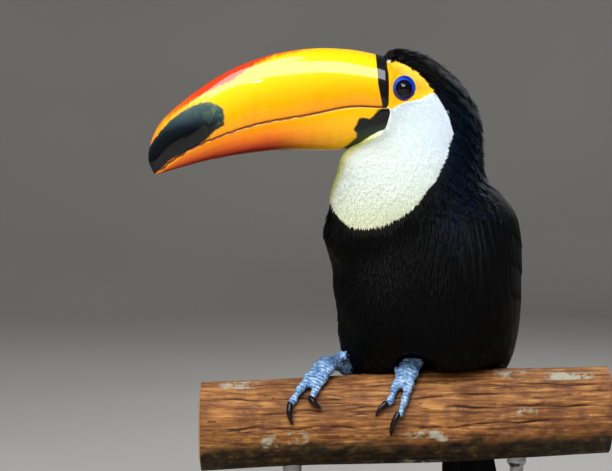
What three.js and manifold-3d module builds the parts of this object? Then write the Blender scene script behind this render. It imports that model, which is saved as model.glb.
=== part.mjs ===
// Toco toucan (Ramphastos toco), life size, gripping a cut length of branch on a display stand.
// Millimetres, +Z up, origin at the middle of the stand's underside, X along the branch,
// and the viewer on the -Y side. The bird's bill points along -X.
import * as THREE from 'three';
import { mergeVertices } from 'three/addons/utils/BufferGeometryUtils.js';
import Module from 'manifold-3d';

const wasm = await Module();
wasm.setup();

// ---- driving dimensions ----

const gap = 0.3;                          // air between neighbouring solids

const base = { length: 300, width: 210, height: 18, corner: 16 };
const rod = { radius: 5, x: 88, socket: 14 };       // socket: depth into base and branch
const perch = { length: 320, radius: 34.3, axisZ: 180, slope: 2.4, lump: 0.02 };

const crestZ = perch.axisZ + perch.radius;          // top of the branch under the bird
const bodyAt = { x: 16, y: 13 };                    // middle of the body, seen from above
const bodyTurn = THREE.MathUtils.degToRad(35);      // how far the breast turns towards the bill
const headY = -10;                                  // plane of the bill and of the head's middle

const bill = { baseX: -14, halfWidth: 19.5, taper: 0.62, stations: 15 };
const eye = { x: -0.8, up: 222.7, radius: 7.6, set: 5.2, ringRadius: 8.6, ringHeight: 10 };
const wingSkin = { outside: 9, inside: 4 };         // a wing's thickness, out of and into the flank
const tail = { length: 150, halfWidth: 31, lean: 9, thick: 8, tipThick: 2.6 };
const toe = { radius: 3.7, tipRadius: 2.6, arch: 5 };    // arch: extra height where it leaves the knot
const knot = { lift: 9.5, radii: [8, 8, 6.5] };     // where the toes and the shank meet
const claw = { radius: 2.3, turn: 27 };             // turn: degrees round the branch

// ---- curves and lofts ----

const rad = THREE.MathUtils.degToRad;
const v3 = (x, y, z) => new THREE.Vector3(x, y, z);

// A smooth curve through points of the bird's profile: x, and height above the branch.
function profileCurve(points) {
  return new THREE.CatmullRomCurve3(points.map(([x, up]) => v3(x, headY, crestZ + up)), false, 'centripetal');
}

// Reads a table of rows sorted by falling height, blended smoothly between rows.
function readRows(rows, up) {
  const last = rows.length - 2;
  let i = rows.findIndex((row, k) => k <= last && up >= rows[k + 1][0]);
  if (i < 0) i = last;
  const blend = THREE.MathUtils.clamp((rows[i][0] - up) / (rows[i][0] - rows[i + 1][0]), 0, 1);
  const before = rows[Math.max(i - 1, 0)];
  const after = rows[Math.min(i + 2, rows.length - 1)];
  return rows[i].map((value, k) => {
    const a = before[k];
    const c = rows[i + 1][k];
    const d = after[k];
    const slopeHere = (c - a) / 2;
    const slopeNext = (d - value) / 2;
    const t2 = blend * blend;
    const t3 = t2 * blend;
    return value * (2 * t3 - 3 * t2 + 1) + slopeHere * (t3 - 2 * t2 + blend)
      + c * (3 * t2 - 2 * t3) + slopeNext * (t3 - t2);
  });
}

// Joins rings of equal count into one closed body, each end closed to its pole or middle.
function loft(rings, startPole, endPole) {
  const count = rings[0].length;
  const middle = (ring) => ring.reduce((sum, p) => sum.add(p), v3(0, 0, 0)).divideScalar(count);
  const points = [...rings.flat(), startPole ?? middle(rings[0]), endPole ?? middle(rings.at(-1))];
  const startIndex = rings.length * count;
  const endIndex = startIndex + 1;
  const index = [];
  for (let k = 0; k < count; k++) {
    const next = (k + 1) % count;
    index.push(startIndex, next, k);
    index.push(endIndex, startIndex - count + k, startIndex - count + next);
    for (let i = 0; i < rings.length - 1; i++) {
      const a = i * count;
      const b = a + count;
      index.push(a + k, a + next, b + k);
      index.push(a + next, b + next, b + k);
    }
  }
  const geometry = new THREE.BufferGeometry().setFromPoints(points);
  geometry.setIndex(signedVolume(points, index) < 0 ? index.reverse() : index);
  return geometry;
}

function signedVolume(points, index) {
  let volume = 0;
  for (let i = 0; i < index.length; i += 3) {
    const [a, b, c] = [points[index[i]], points[index[i + 1]], points[index[i + 2]]];
    volume += a.dot(b.clone().cross(c));
  }
  return volume / 6;
}

// A round tube whose radius runs along its curve.
function tube(points, radiusAt, steps, sides) {
  const curve = new THREE.CatmullRomCurve3(points, false, 'centripetal');
  const frames = curve.computeFrenetFrames(steps);
  const rings = [];
  for (let i = 0; i <= steps; i++) {
    const middle = curve.getPointAt(i / steps);
    rings.push(ellipse(middle, frames.normals[i], frames.binormals[i], radiusAt(i / steps), radiusAt(i / steps), sides));
  }
  return loft(rings);
}

function ellipse(middle, sideways, upwards, halfWidth, halfHeight, sides) {
  return Array.from({ length: sides }, (_, k) => {
    const angle = (2 * Math.PI * k) / sides;
    return middle.clone()
      .addScaledVector(sideways, halfWidth * Math.cos(angle))
      .addScaledVector(upwards, halfHeight * Math.sin(angle));
  });
}

// ---- solids ----

function solid(geometry) {
  const bare = geometry.clone();
  bare.deleteAttribute('normal');
  bare.deleteAttribute('uv');
  const merged = mergeVertices(bare, 1e-4);
  const mesh = new wasm.Mesh({
    numProp: 3,
    vertProperties: new Float32Array(merged.attributes.position.array),
    triVerts: new Uint32Array(merged.index.array),
  });
  return new wasm.Manifold(mesh);
}

function geometryOf(manifold) {
  const { vertProperties, triVerts } = manifold.getMesh();
  const geometry = new THREE.BufferGeometry();
  geometry.setAttribute('position', new THREE.BufferAttribute(vertProperties, 3));
  geometry.setIndex(new THREE.BufferAttribute(triVerts, 1));
  return geometry;
}

const union = (solids) => solids.reduce((whole, piece) => whole.add(piece));
const cut = (whole, tools) => tools.reduce((rest, tool) => rest.subtract(tool), whole);

function ball(middle, radii, segments = 12) {
  const geometry = new THREE.SphereGeometry(1, segments, Math.round(segments * 0.6));
  geometry.scale(...radii);
  geometry.translate(...middle);
  return solid(geometry);
}

// Everything above a plane that tilts along X: its height is given at x = 0.
function above(height, tiltDegrees) {
  const size = 700;
  const geometry = new THREE.BoxGeometry(size, size, size);
  geometry.translate(0, 0, size / 2);
  geometry.rotateY(rad(-tiltDegrees));
  geometry.translate(0, 0, crestZ + height);
  return solid(geometry);
}

// ---- the branch and its stand ----

const perchAxisZ = (x) => perch.axisZ + x * Math.tan(rad(perch.slope));

// Radius of the branch at x, at an angle from its crest towards the viewer.
function perchRadius(x, angle) {
  const waves = Math.sin(x / 37 + 0.7) + 0.7 * Math.cos(2 * angle + x / 60) + 0.5 * Math.cos(3 * angle - x / 45);
  return perch.radius * (1 + perch.lump * (waves - 0.9 * Math.sin(0.7)));
}

function onPerch(x, angle, lift) {
  const reach = perchRadius(x, angle) + lift;
  return v3(x, -reach * Math.sin(angle), perchAxisZ(x) + reach * Math.cos(angle));
}

function makePerch(grow) {
  const sides = 18;
  const steps = 8;
  const half = perch.length / 2 + grow;
  const rings = [];
  for (let i = 0; i <= steps; i++) {
    const x = -half + (2 * half * i) / steps;
    rings.push(Array.from({ length: sides }, (_, k) => onPerch(x, (2 * Math.PI * k) / sides, grow)));
  }
  return solid(loft(rings));
}

function makeRod(side, grow) {
  const bottom = base.height - rod.socket - grow;
  const top = perchAxisZ(side * rod.x) - perch.radius + rod.socket + grow;
  const geometry = new THREE.CylinderGeometry(rod.radius + grow, rod.radius + grow, top - bottom, 16);
  geometry.rotateX(Math.PI / 2);
  geometry.translate(side * rod.x, 0, (top + bottom) / 2);
  return solid(geometry);
}

function makeBase() {
  const [x, y, r] = [base.length / 2, base.width / 2, base.corner];
  const outline = new THREE.Shape();
  outline.absarc(x - r, y - r, r, 0, Math.PI / 2);
  outline.absarc(r - x, y - r, r, Math.PI / 2, Math.PI);
  outline.absarc(r - x, r - y, r, Math.PI, 1.5 * Math.PI);
  outline.absarc(x - r, r - y, r, 1.5 * Math.PI, 2 * Math.PI);
  return solid(new THREE.ExtrudeGeometry(outline, { depth: base.height, bevelEnabled: false, curveSegments: 5 }));
}

// ---- bill ----

const culmen = profileCurve([[-14, 246], [-43, 251.6], [-74, 252.3], [-105, 247.3], [-136.5, 235.4],
  [-168, 215.1], [-191.9, 192.1], [-199.3, 167.7], [-194.7, 154.6]]);
const mouthLine = profileCurve([[-14, 206.5], [-43, 207.2], [-75, 201], [-113, 194.2], [-140, 185.8],
  [-168, 173.6], [-194.4, 155.6]]);
const billFloor = profileCurve([[-14, 187.4], [-27, 181], [-50, 174.4], [-97, 173.6], [-144, 167.5],
  [-175, 160], [-193.2, 154.8]]);

const upperFlank = (k) => Math.sin((Math.PI / 2) * Math.min(1, k / 0.62)) ** 0.55
  * (1 - 0.1 * Math.max(0, (k - 0.62) / 0.38) ** 2);
const lowerFlank = (k) => 0.9 * Math.sqrt(1 - k ** 2.2);
const billHalfWidth = (t) => bill.halfWidth * (1 - t) ** bill.taper;

// One half of the bill, between two curves of its profile; flank gives its section's half-width.
function makeMandible(topCurve, bottomCurve, flank, inset, steps, grow) {
  const side = 6;
  const sections = [];
  for (let i = 0; i <= bill.stations; i++) {
    const t = (0.985 * i) / bill.stations;
    const top = topCurve.getPointAt(t);
    const bottom = bottomCurve.getPointAt(t);
    const down = bottom.clone().sub(top).normalize();
    top.addScaledVector(down, inset.top - grow);
    bottom.addScaledVector(down, grow - inset.bottom);
    const half = [];
    for (let k = 0; k <= side; k++) {
      const depth = steps(k / side);
      const place = top.clone().lerp(bottom, depth);
      half.push([place, billHalfWidth(t) * flank(depth) + grow]);
    }
    const left = half.map(([place, width]) => place.clone().add(v3(0, -width, 0)));
    const right = half.map(([place, width]) => place.clone().add(v3(0, width, 0))).reverse();
    sections.push([...left, ...right]);
  }
  const tip = topCurve.getPointAt(1).lerp(bottomCurve.getPointAt(1), 0.5);
  return solid(loft(sections, undefined, tip));
}

const makeUpperBill = (grow) => makeMandible(culmen, mouthLine, upperFlank,
  { top: 0, bottom: gap / 2 }, (k) => 1 - Math.cos((k * Math.PI) / 2), grow);
const makeLowerBill = (grow) => makeMandible(mouthLine, billFloor, lowerFlank,
  { top: gap / 2, bottom: 0 }, (k) => Math.sin((k * Math.PI) / 2), grow);

// ---- head and neck ----

// Height above the branch, front and back of the profile, half the width.
const headRows = [
  [251, -11, -1, 3],
  [249, -18, 11, 11],
  [245, -22, 20, 17.5],
  [239, -21, 29, 23],
  [230, -21, 40, 27.5],
  [219, -22, 50, 30],
  [208, -22, 56, 31],
  [196, -21.5, 60, 32],
  [185.6, -23, 59.5, 33.5],
  [177.8, -36, 60, 35],
  [169, -45, 61, 38.5],
  [158, -52, 61.5, 43],
  [146, -58, 63, 47],
  [134, -61, 62, 48],
  [120, -64, 58, 45],
  [104, -64, 50, 38],
  [92, -60, 38, 30],
  [80, -51, 20, 18],
  [72, -38, 4, 8],
];

function makeHeadAndNeck() {
  const sides = 20;
  const rings = headRows.map(([up, front, back, halfWidth]) => {
    const middle = v3((front + back) / 2, headY, crestZ + up);
    return ellipse(middle, v3(1, 0, 0), v3(0, 1, 0), (back - front) / 2, halfWidth, sides);
  });
  return solid(loft(rings));
}

const eyeAt = (side, outward = 0) => {
  const [, front, back, halfWidth] = readRows(headRows, eye.up);
  const along = (eye.x - (front + back) / 2) / ((back - front) / 2);
  const surface = halfWidth * Math.sqrt(1 - along * along);
  return [eye.x, headY - side * (surface - eye.set + outward), crestZ + eye.up];
};

// The swollen ring of bare skin round an eye: half of it lies in the head.
function makeEyeRing(side) {
  const [x, y, z] = eyeAt(side, eye.set - 0.6);
  return ball([x, y, z], [eye.ringRadius, 2.6, eye.ringHeight], 12);
}

const makeEye = (side, grow) => ball(eyeAt(side), Array(3).fill(eye.radius + grow), 12);

// ---- trunk and wings, in the body's own directions ----

const forward = v3(-Math.sin(bodyTurn), -Math.cos(bodyTurn), 0);
const leftward = v3(Math.cos(bodyTurn), -Math.sin(bodyTurn), 0);

const bodyPoint = (ahead, left, up) => v3(bodyAt.x, bodyAt.y, crestZ + up)
  .addScaledVector(forward, ahead)
  .addScaledVector(leftward, left);

// Height above the branch, reach of the breast, reach of the back, half the width.
const trunkRows = [
  [164, 14, -20, 16],
  [158, 30, -30, 33],
  [148, 43, -41, 51],
  [132, 55, -51, 66],
  [110, 64, -57, 73],
  [86, 70, -61, 72],
  [62, 70, -63, 71],
  [38, 64, -64, 69],
  [20, 54, -66, 64],
  [6, 43, -68, 59],
  [-6, 14, -69, 50],
  [-22, -22, -68, 37],
  [-40, -42, -67, 28],
  [-56, -52, -67, 21],
];

// A point round the trunk: the angle runs from the breast (0) by the flank (90) to the back (180).
function flankPoint(up, degrees, out, side) {
  const [, front, back, halfWidth] = readRows(trunkRows, up);
  const turn = rad(degrees);
  const reach = Math.cos(turn) > 0 ? front - (front + back) / 2 : (front - back) / 2;
  return bodyPoint(
    (front + back) / 2 + (reach + out) * Math.cos(turn),
    side * (halfWidth + out) * Math.sin(turn),
    up,
  );
}

function makeTrunk() {
  const sides = 22;
  const rings = trunkRows.map(([up]) => (
    Array.from({ length: sides }, (_, k) => flankPoint(up, (360 * k) / sides, 0, 1))
  ));
  return solid(loft(rings));
}

// Height above the branch, front and rear edge in degrees round the body, share of the thickness.
const wingRows = [
  [152, 76, 128, 0.35],
  [144, 58, 140, 0.8],
  [124, 47, 152, 1],
  [98, 50, 162, 1],
  [74, 59, 167, 1],
  [50, 71, 170, 1],
  [26, 88, 172, 0.9],
  [4, 110, 173, 0.8],
  [-18, 130, 174, 0.7],
  [-38, 144, 174, 0.6],
  [-56, 154, 173, 0.45],
];

// A folded wing: a curved plank that wraps the flank, its inner part sunk into the trunk.
function makeWing(side, grow) {
  const across = 6;
  const last = wingRows.length - 1;
  const rings = wingRows.map(([up, frontEdge, rearEdge, share], row) => {
    const level = up + (row === 0 ? grow : 0) - (row === last ? grow : 0);
    const outer = [];
    const inner = [];
    for (let k = 0; k <= across; k++) {
      const t = k / across;
      const spread = (2 * t - 1) * (grow / 1.1);
      const degrees = THREE.MathUtils.lerp(frontEdge, rearEdge, t) + spread;
      const bulge = 0.3 + 0.7 * Math.sin(Math.PI * t) ** 0.6;
      outer.push(flankPoint(level, degrees, wingSkin.outside * share * bulge + grow, side));
      inner.unshift(flankPoint(level, degrees, -wingSkin.inside * (0.5 + 0.5 * share) - grow, side));
    }
    return [...outer, ...inner];
  });
  return solid(loft(rings));
}

// ---- tail ----

function makeTail(grow) {
  const steps = 9;
  const root = bodyPoint(-60, 0, -22);
  const down = v3(0, 0, -Math.cos(rad(tail.lean))).addScaledVector(forward, -Math.sin(rad(tail.lean)));
  const rearward = forward.clone().negate().addScaledVector(down, forward.dot(down)).normalize();
  const rings = [];
  for (let i = 0; i <= steps; i++) {
    const t = i / steps;
    const along = (tail.length + grow) * (1 - (1 - t) ** 1.25);
    const share = along / (tail.length + grow);
    const spread = 0.62 + 0.38 * Math.min(1, share / 0.7);
    const round = Math.sqrt(Math.max(0.035, 1 - Math.max(0, (share - 0.84) / 0.16) ** 2));
    const halfWidth = tail.halfWidth * spread * round + grow;
    const halfThick = THREE.MathUtils.lerp(tail.thick, tail.tipThick, Math.min(1, share * 1.15)) / 2 + grow;
    const middle = root.clone().addScaledVector(down, along);
    rings.push(ellipse(middle, leftward, rearward, halfWidth, halfThick, 14));
  }
  return solid(loft(rings));
}

// ---- legs ----

// A foot's x is on the branch, and its toes' x are from there. start and end are degrees round the
// branch from its crest, positive towards the viewer. Hocks and knees are ahead, left and up.
const legs = [
  {
    name: 'left',
    footX: 7,
    hock: [-6, 24, 22],
    knee: [12, 46, 46],
    toes: [
      { name: 'outer_front', startX: 3.8, endX: -12, clawX: -5, start: 16, end: 82 },
      { name: 'inner_front', startX: -5, endX: -20.5, clawX: -5, start: 14, end: 68 },
      { name: 'outer_rear', startX: 4.4, endX: 14, clawX: 2, start: -22, end: -72 },
      { name: 'inner_rear', startX: -4.4, endX: -7, clawX: -1, start: -22, end: -60 },
    ],
  },
  {
    name: 'right',
    footX: -61,
    hock: [17, -44, 16],
    knee: [24, -47, 36],
    toes: [
      { name: 'outer_front', startX: -5, endX: -28.5, clawX: 2, start: 10, end: 64 },
      { name: 'inner_front', startX: 3.6, endX: -12.5, clawX: 8, start: 18, end: 57 },
      { name: 'outer_rear', startX: -4.4, endX: -13, clawX: -2, start: -22, end: -68 },
      { name: 'inner_rear', startX: 5.5, endX: 24, clawX: 3, start: -12, end: -42 },
    ],
  },
];

const knotAt = (leg) => onPerch(leg.footX, rad(2), knot.lift);

// The feathered thigh, a fold of the flank from the knee down to the hock.
function makeThigh(leg, grow) {
  const knee = bodyPoint(...leg.knee);
  const hock = bodyPoint(...leg.hock);
  const along = knee.clone().sub(hock).normalize();
  const start = knee.clone().addScaledVector(along, 16 + grow);
  const end = hock.clone().addScaledVector(along, -2 * grow);
  const radiusAt = (t) => 9 + 13 * Math.sin(Math.PI * (0.97 - 0.8 * t)) ** 0.8 + grow;
  return solid(tube([start, knee, end], radiusAt, 4, 10));
}

// The bare shank from the hock down to the knot where the toes meet.
function makeShank(leg, grow) {
  const hock = bodyPoint(...leg.hock);
  const middle = knotAt(leg);
  const bend = hock.clone().lerp(middle, 0.55).add(v3(0, 0, 2));
  const shank = solid(tube([hock, bend, middle], (t) => 2.9 + 1.6 * Math.abs(2 * t - 1) ** 3 + grow, 5, 8));
  return shank.add(ball(middle.toArray(), knot.radii.map((radius) => radius + grow), 10));
}

// Room for a whole foot under the belly.
const footRoom = (leg) => ball(knotAt(leg).toArray(), [20, 31, 15], 10);

// Room under the belly for the toes behind the crest.
function rearToeRoom(leg) {
  const [width, reach] = [52, 60];
  const behind = new THREE.BoxGeometry(width, reach, reach * 2);
  behind.translate(leg.footX + 4, 2 + reach / 2, perch.axisZ);
  return makePerch(2 * toe.radius + 3).intersect(solid(behind));
}

function toePath(leg, digit) {
  const points = [];
  const steps = 5;
  for (let i = 0; i <= steps; i++) {
    const t = i / steps;
    const x = leg.footX + THREE.MathUtils.lerp(digit.startX, digit.endX, t ** 0.9);
    const degrees = THREE.MathUtils.lerp(digit.start * 0.55, digit.end, t);
    const radius = THREE.MathUtils.lerp(toe.radius, toe.tipRadius, t);
    points.push(onPerch(x, rad(degrees), radius + gap + toe.arch * (1 - t) ** 2.5));
  }
  return points;
}

function makeToe(leg, digit, grow) {
  const knuckles = (t) => 1 + 0.06 * Math.cos(t * 6 * Math.PI);
  const radiusAt = (t) => THREE.MathUtils.lerp(toe.radius, toe.tipRadius, t) * knuckles(t) + grow;
  return solid(tube(toePath(leg, digit), radiusAt, 6, 7));
}

function makeClaw(leg, digit) {
  const sense = Math.sign(digit.end);
    const points = [0, 0.35, 0.7, 1].map((t) => {
    const x = leg.footX + digit.endX + digit.clawX * t;
    const lift = claw.radius + gap + 1.5 * Math.sin(Math.PI * t) - 1.5 * t;
    return onPerch(x, rad(digit.end + sense * (2 + claw.turn * t)), lift);
  });
  return solid(tube(points, (t) => claw.radius * (1 - t) ** 0.7 + 0.3, 4, 6));
}

// ---- materials ----

const finish = (color, roughness, metalness = 0) => new THREE.MeshStandardMaterial({ color, roughness, metalness });
const materials = {
  black: finish(0x16161a, 0.6),
  white: finish(0xeceae2, 0.8),
  yellow: finish(0xf2a81d, 0.3),
  orange: finish(0xd9641c, 0.3),
  skin: finish(0x66727c, 0.7),
  horn: finish(0x1d1b1a, 0.4),
  eye: finish(0x0b0807, 0.08),
  bark: finish(0xa08361, 0.9),
  walnut: finish(0x4a3020, 0.45),
  steel: finish(0xa9abad, 0.35, 1),
};

// ---- assembly ----

const toucan = new THREE.Group();
const bird = new THREE.Group();
const stand = new THREE.Group();
toucan.add(bird, stand);

function place(group, name, manifold, material) {
  const mesh = new THREE.Mesh(geometryOf(manifold), material);
  mesh.name = name;
  group.add(mesh);
}

const sides = [['left', 1], ['right', -1]];
const wholePerch = makePerch(0);
const perchRoom = makePerch(gap);
const rodRooms = sides.map(([, side]) => makeRod(side, gap));

place(stand, 'stand_base', cut(makeBase(), rodRooms), materials.walnut);
sides.forEach(([name, side]) => place(stand, `stand_rod_${name}`, makeRod(side, 0), materials.steel));
place(stand, 'stand_perch', cut(wholePerch, rodRooms), materials.bark);

const billFrontRoom = new THREE.BoxGeometry(120, 120, 100);
billFrontRoom.translate(bill.baseX + gap - 60, headY, crestZ + 188 + 50);

const wingRooms = sides.map(([, side]) => makeWing(side, gap));
const flesh = union([
  makeHeadAndNeck(),
  makeTrunk(),
  ...sides.map(([, side]) => makeEyeRing(side)),
  ...legs.map((leg) => makeThigh(leg, 0)),
]);
const body = cut(flesh, [
  solid(billFrontRoom),
  makeUpperBill(gap),
  makeLowerBill(gap),
  ...sides.map(([, side]) => makeEye(side, gap)),
  ...wingRooms,
  ...legs.map((leg) => makeShank(leg, gap)),
  ...legs.flatMap((leg) => [footRoom(leg), rearToeRoom(leg)]),
  perchRoom,
  makeTail(gap),
]);
const thighRoom = 5;                                // how far a thigh's cut lies outside its bulge

const throatCut = { up: 163, tilt: -5 };
const shoulderCut = { up: 139, tilt: 4 };
const aboveThroat = above(throatCut.up, throatCut.tilt);
const aboveShoulder = above(shoulderCut.up, shoulderCut.tilt);
place(bird, 'head', body.intersect(aboveThroat), materials.black);
place(bird, 'neck', body.intersect(above(shoulderCut.up + gap, shoulderCut.tilt))
  .subtract(above(throatCut.up - gap, throatCut.tilt)), materials.white);
place(bird, 'trunk', cut(body, [
  aboveShoulder,
  ...legs.map((leg) => makeThigh(leg, thighRoom + gap)),
]), materials.black);

place(bird, 'bill_upper', makeUpperBill(0), materials.yellow);
place(bird, 'bill_lower', makeLowerBill(0), materials.orange);
sides.forEach(([name, side]) => {
  place(bird, `eye_${name}`, makeEye(side, 0), materials.eye);
  place(bird, `wing_${name}`, makeWing(side, 0), materials.black);
});
place(bird, 'tail', cut(makeTail(0), wingRooms), materials.black);

legs.forEach((leg) => {
  place(bird, `thigh_${leg.name}`, body.intersect(makeThigh(leg, thighRoom)), materials.black);
  place(bird, `shank_${leg.name}`, cut(makeShank(leg, 0), [perchRoom]), materials.skin);
  leg.toes.forEach((digit) => {
    place(bird, `toe_${leg.name}_${digit.name}`, cut(makeToe(leg, digit, 0), [makeShank(leg, gap)]), materials.skin);
    place(bird, `claw_${leg.name}_${digit.name}`, cut(makeClaw(leg, digit), [makeToe(leg, digit, gap)]), materials.horn);
  });
});

export default toucan;
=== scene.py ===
# A toucan at life size, gripping a cut length of branch on a display stand.
# Figures are in millimetres unless a line says metres. The bill points along -X,
# the breast is turned towards the viewer at -Y, and up counts from the branch's crest.
import math

import bpy
import numpy as np
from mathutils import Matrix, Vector
from mathutils.bvhtree import BVHTree


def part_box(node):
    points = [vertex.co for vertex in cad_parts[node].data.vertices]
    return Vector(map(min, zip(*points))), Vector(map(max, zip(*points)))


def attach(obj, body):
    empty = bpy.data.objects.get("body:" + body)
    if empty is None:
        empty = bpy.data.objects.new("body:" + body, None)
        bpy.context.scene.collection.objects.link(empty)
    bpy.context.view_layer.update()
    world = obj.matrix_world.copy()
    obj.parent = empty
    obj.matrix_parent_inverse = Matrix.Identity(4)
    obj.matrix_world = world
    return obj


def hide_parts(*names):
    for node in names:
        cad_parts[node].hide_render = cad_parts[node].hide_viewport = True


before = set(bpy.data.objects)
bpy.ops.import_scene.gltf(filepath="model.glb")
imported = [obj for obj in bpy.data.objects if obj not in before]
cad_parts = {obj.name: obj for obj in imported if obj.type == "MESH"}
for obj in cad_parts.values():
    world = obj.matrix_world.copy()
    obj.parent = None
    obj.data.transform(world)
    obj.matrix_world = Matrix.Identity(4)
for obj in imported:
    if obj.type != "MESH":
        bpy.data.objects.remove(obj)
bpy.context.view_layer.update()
mm = 0.001
chance = np.random.default_rng(11)

# ---- camera, light and floor ----

view = {"target": (-0.0772, 0.0, 0.3215), "distance": 1.7, "elevation": 3.0, "angle": 15.99}  # metres, degrees


def placeCamera():
    tilt = math.radians(view["elevation"])
    target = Vector(view["target"])
    data = bpy.data.cameras.new("camera")
    data.sensor_fit = "HORIZONTAL"
    data.angle = math.radians(view["angle"])
    data.clip_end = 50
    camera = bpy.data.objects.new("camera", data)
    camera.location = target + Vector((0, -math.cos(tilt), math.sin(tilt))) * view["distance"]
    camera.rotation_euler = (math.radians(90) - tilt, 0, 0)
    bpy.context.scene.collection.objects.link(camera)
    bpy.context.scene.camera = camera


lamps = {  # place in metres, size in metres, watts, whether gloss mirrors it
    "skylight": ((-0.35, -1.15, 1.7), (1.6, 1.05), 36, "#f9faff", True),
    "softbox": ((-1.1, -1.8, 0.8), (1.3, 1.0), 14, "#fffaf2", False),
    "glint": ((-0.62, -1.5, 1.25), (0.16, 0.05), 0.9, "#ffffff", True),
    "fill": ((1.6, -1.6, 0.8), (1.2, 1.2), 5, "#eaf1ff", False),
    "rim": ((0.9, 1.4, 1.5), (1.0, 0.8), 14, "#f2f6ff", True),
}


def placeLamps():
    for name, (place, size, power, tint, mirrored) in lamps.items():
        data = bpy.data.lights.new(name, "AREA")
        data.shape = "RECTANGLE"
        data.size, data.size_y = size
        data.energy = power
        data.color = hexColor(tint)[:3]
        lamp = bpy.data.objects.new(name, data)
        lamp.location = place
        lamp.visible_glossy = mirrored             # large lamps would cloud the black plumage
        aim = Vector((-0.05, 0, 0.36)) - Vector(place)
        lamp.rotation_euler = aim.to_track_quat("-Z", "Y").to_euler()
        bpy.context.scene.collection.objects.link(lamp)


def makeSweep():
    # a paper sweep: floor, a wide bend, and a wall well behind the stand
    clearSelection()
    bpy.ops.mesh.primitive_plane_add(size=9, location=(0, 0, 0))
    sweep = bpy.context.object
    sweep.name = "paper_sweep"
    bpy.ops.object.mode_set(mode="EDIT")
    bpy.ops.mesh.select_all(action="DESELECT")
    bpy.ops.object.mode_set(mode="OBJECT")
    for edge in sweep.data.edges:
        edge.select = all(sweep.data.vertices[v].co.y > 4 for v in edge.vertices)
    bpy.ops.object.mode_set(mode="EDIT")
    bpy.ops.mesh.extrude_region_move(TRANSFORM_OT_translate={"value": (0, 0, 6)})
    bpy.ops.object.mode_set(mode="OBJECT")
    applyModifier(sweep, "BEVEL", width=1.6, segments=14, limit_method="ANGLE")
    bpy.ops.object.shade_smooth()
    material, tree, shader = newMaterial("matt_seamless_paper")  # pulp paper: faint cloudy tone, no gloss
    place = addNode(tree, "TexCoord")
    cloud = addNode(tree, "TexNoise", {"Scale": 1.3, "Detail": 2.0}, {"Vector": place.outputs["Object"]})
    tone = addNode(tree, "ValToRGB", {"ramp": [(0.3, "#b4b1aa"), (0.7, "#bbb8b1")]}, {"Fac": cloud.outputs["Fac"]})
    tree.links.new(tone.outputs["Color"], shader.inputs["Base Color"])
    shader.inputs["Roughness"].default_value = 0.9
    sweep.data.materials.append(material)
    world = bpy.data.worlds.new("studio_air")
    world.use_nodes = True
    world.node_tree.nodes["Background"].inputs["Color"].default_value = hexColor("#e9edf2")
    world.node_tree.nodes["Background"].inputs["Strength"].default_value = 0.24
    bpy.context.scene.world = world
    bpy.context.scene.view_settings.view_transform = "Standard"      # keeps the bill's strong colours
    bpy.context.scene.view_settings.look = "Medium High Contrast"


# ---- small tools ----

def hexColor(text):
    channels = [int(text[i:i + 2], 16) / 255 for i in (1, 3, 5)]
    return tuple([c / 12.92 if c <= 0.04045 else ((c + 0.055) / 1.055) ** 2.4 for c in channels] + [1.0])


def fade(value, start, end):
    t = np.clip((value - start) / (end - start), 0, 1)
    return t * t * (3 - 2 * t)


def blend(a, b, share):
    return a + (b - a) * share


def unit(vectors):
    return vectors / np.maximum(np.linalg.norm(vectors, axis=-1, keepdims=True), 1e-9)


def clearSelection():
    bpy.ops.object.select_all(action="DESELECT")


def makeActive(piece):
    clearSelection()
    piece.select_set(True)
    bpy.context.view_layer.objects.active = piece


def applyModifier(piece, kind, **settings):
    makeActive(piece)
    modifier = piece.modifiers.new(kind.lower(), kind)
    for key, value in settings.items():
        setattr(modifier, key, value)
    bpy.ops.object.modifier_apply(modifier=modifier.name)


def readPoints(piece):
    points = np.empty(len(piece.data.vertices) * 3)
    piece.data.vertices.foreach_get("co", points)
    return points.reshape(-1, 3) / mm


def writePoints(piece, points):
    piece.data.vertices.foreach_set("co", (points * mm).ravel())
    piece.data.update()


def readNormals(piece):
    normals = np.empty(len(piece.data.vertices) * 3)
    piece.data.vertices.foreach_get("normal", normals)
    return normals.reshape(-1, 3)


def store(piece, name, values):
    kind = "FLOAT" if values.ndim == 1 else "FLOAT_VECTOR"
    attribute = piece.data.attributes.get(name) or piece.data.attributes.new(name, kind, "POINT")
    attribute.data.foreach_set("value" if values.ndim == 1 else "vector", np.ascontiguousarray(values, float).ravel())


def surfaceTree(piece):
    points = readPoints(piece)
    faces = [tuple(face.vertices) for face in piece.data.polygons]
    return BVHTree.FromPolygons(points.tolist(), faces)


def copyOfNodes(name, *nodes):
    # one welded copy of CAD nodes, which are loose triangles
    copies = []
    for node in nodes:
        copy = bpy.data.objects.new(name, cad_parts[node].data.copy())
        bpy.context.scene.collection.objects.link(copy)
        copies.append(copy)
    makeActive(copies[0])
    for copy in copies:
        copy.select_set(True)
    if len(copies) > 1:
        bpy.ops.object.join()
    bpy.ops.object.mode_set(mode="EDIT")
    bpy.ops.mesh.select_all(action="SELECT")
    bpy.ops.mesh.remove_doubles(threshold=2e-5)
    bpy.ops.object.mode_set(mode="OBJECT")
    copies[0].data.materials.clear()
    return copies[0]


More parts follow.
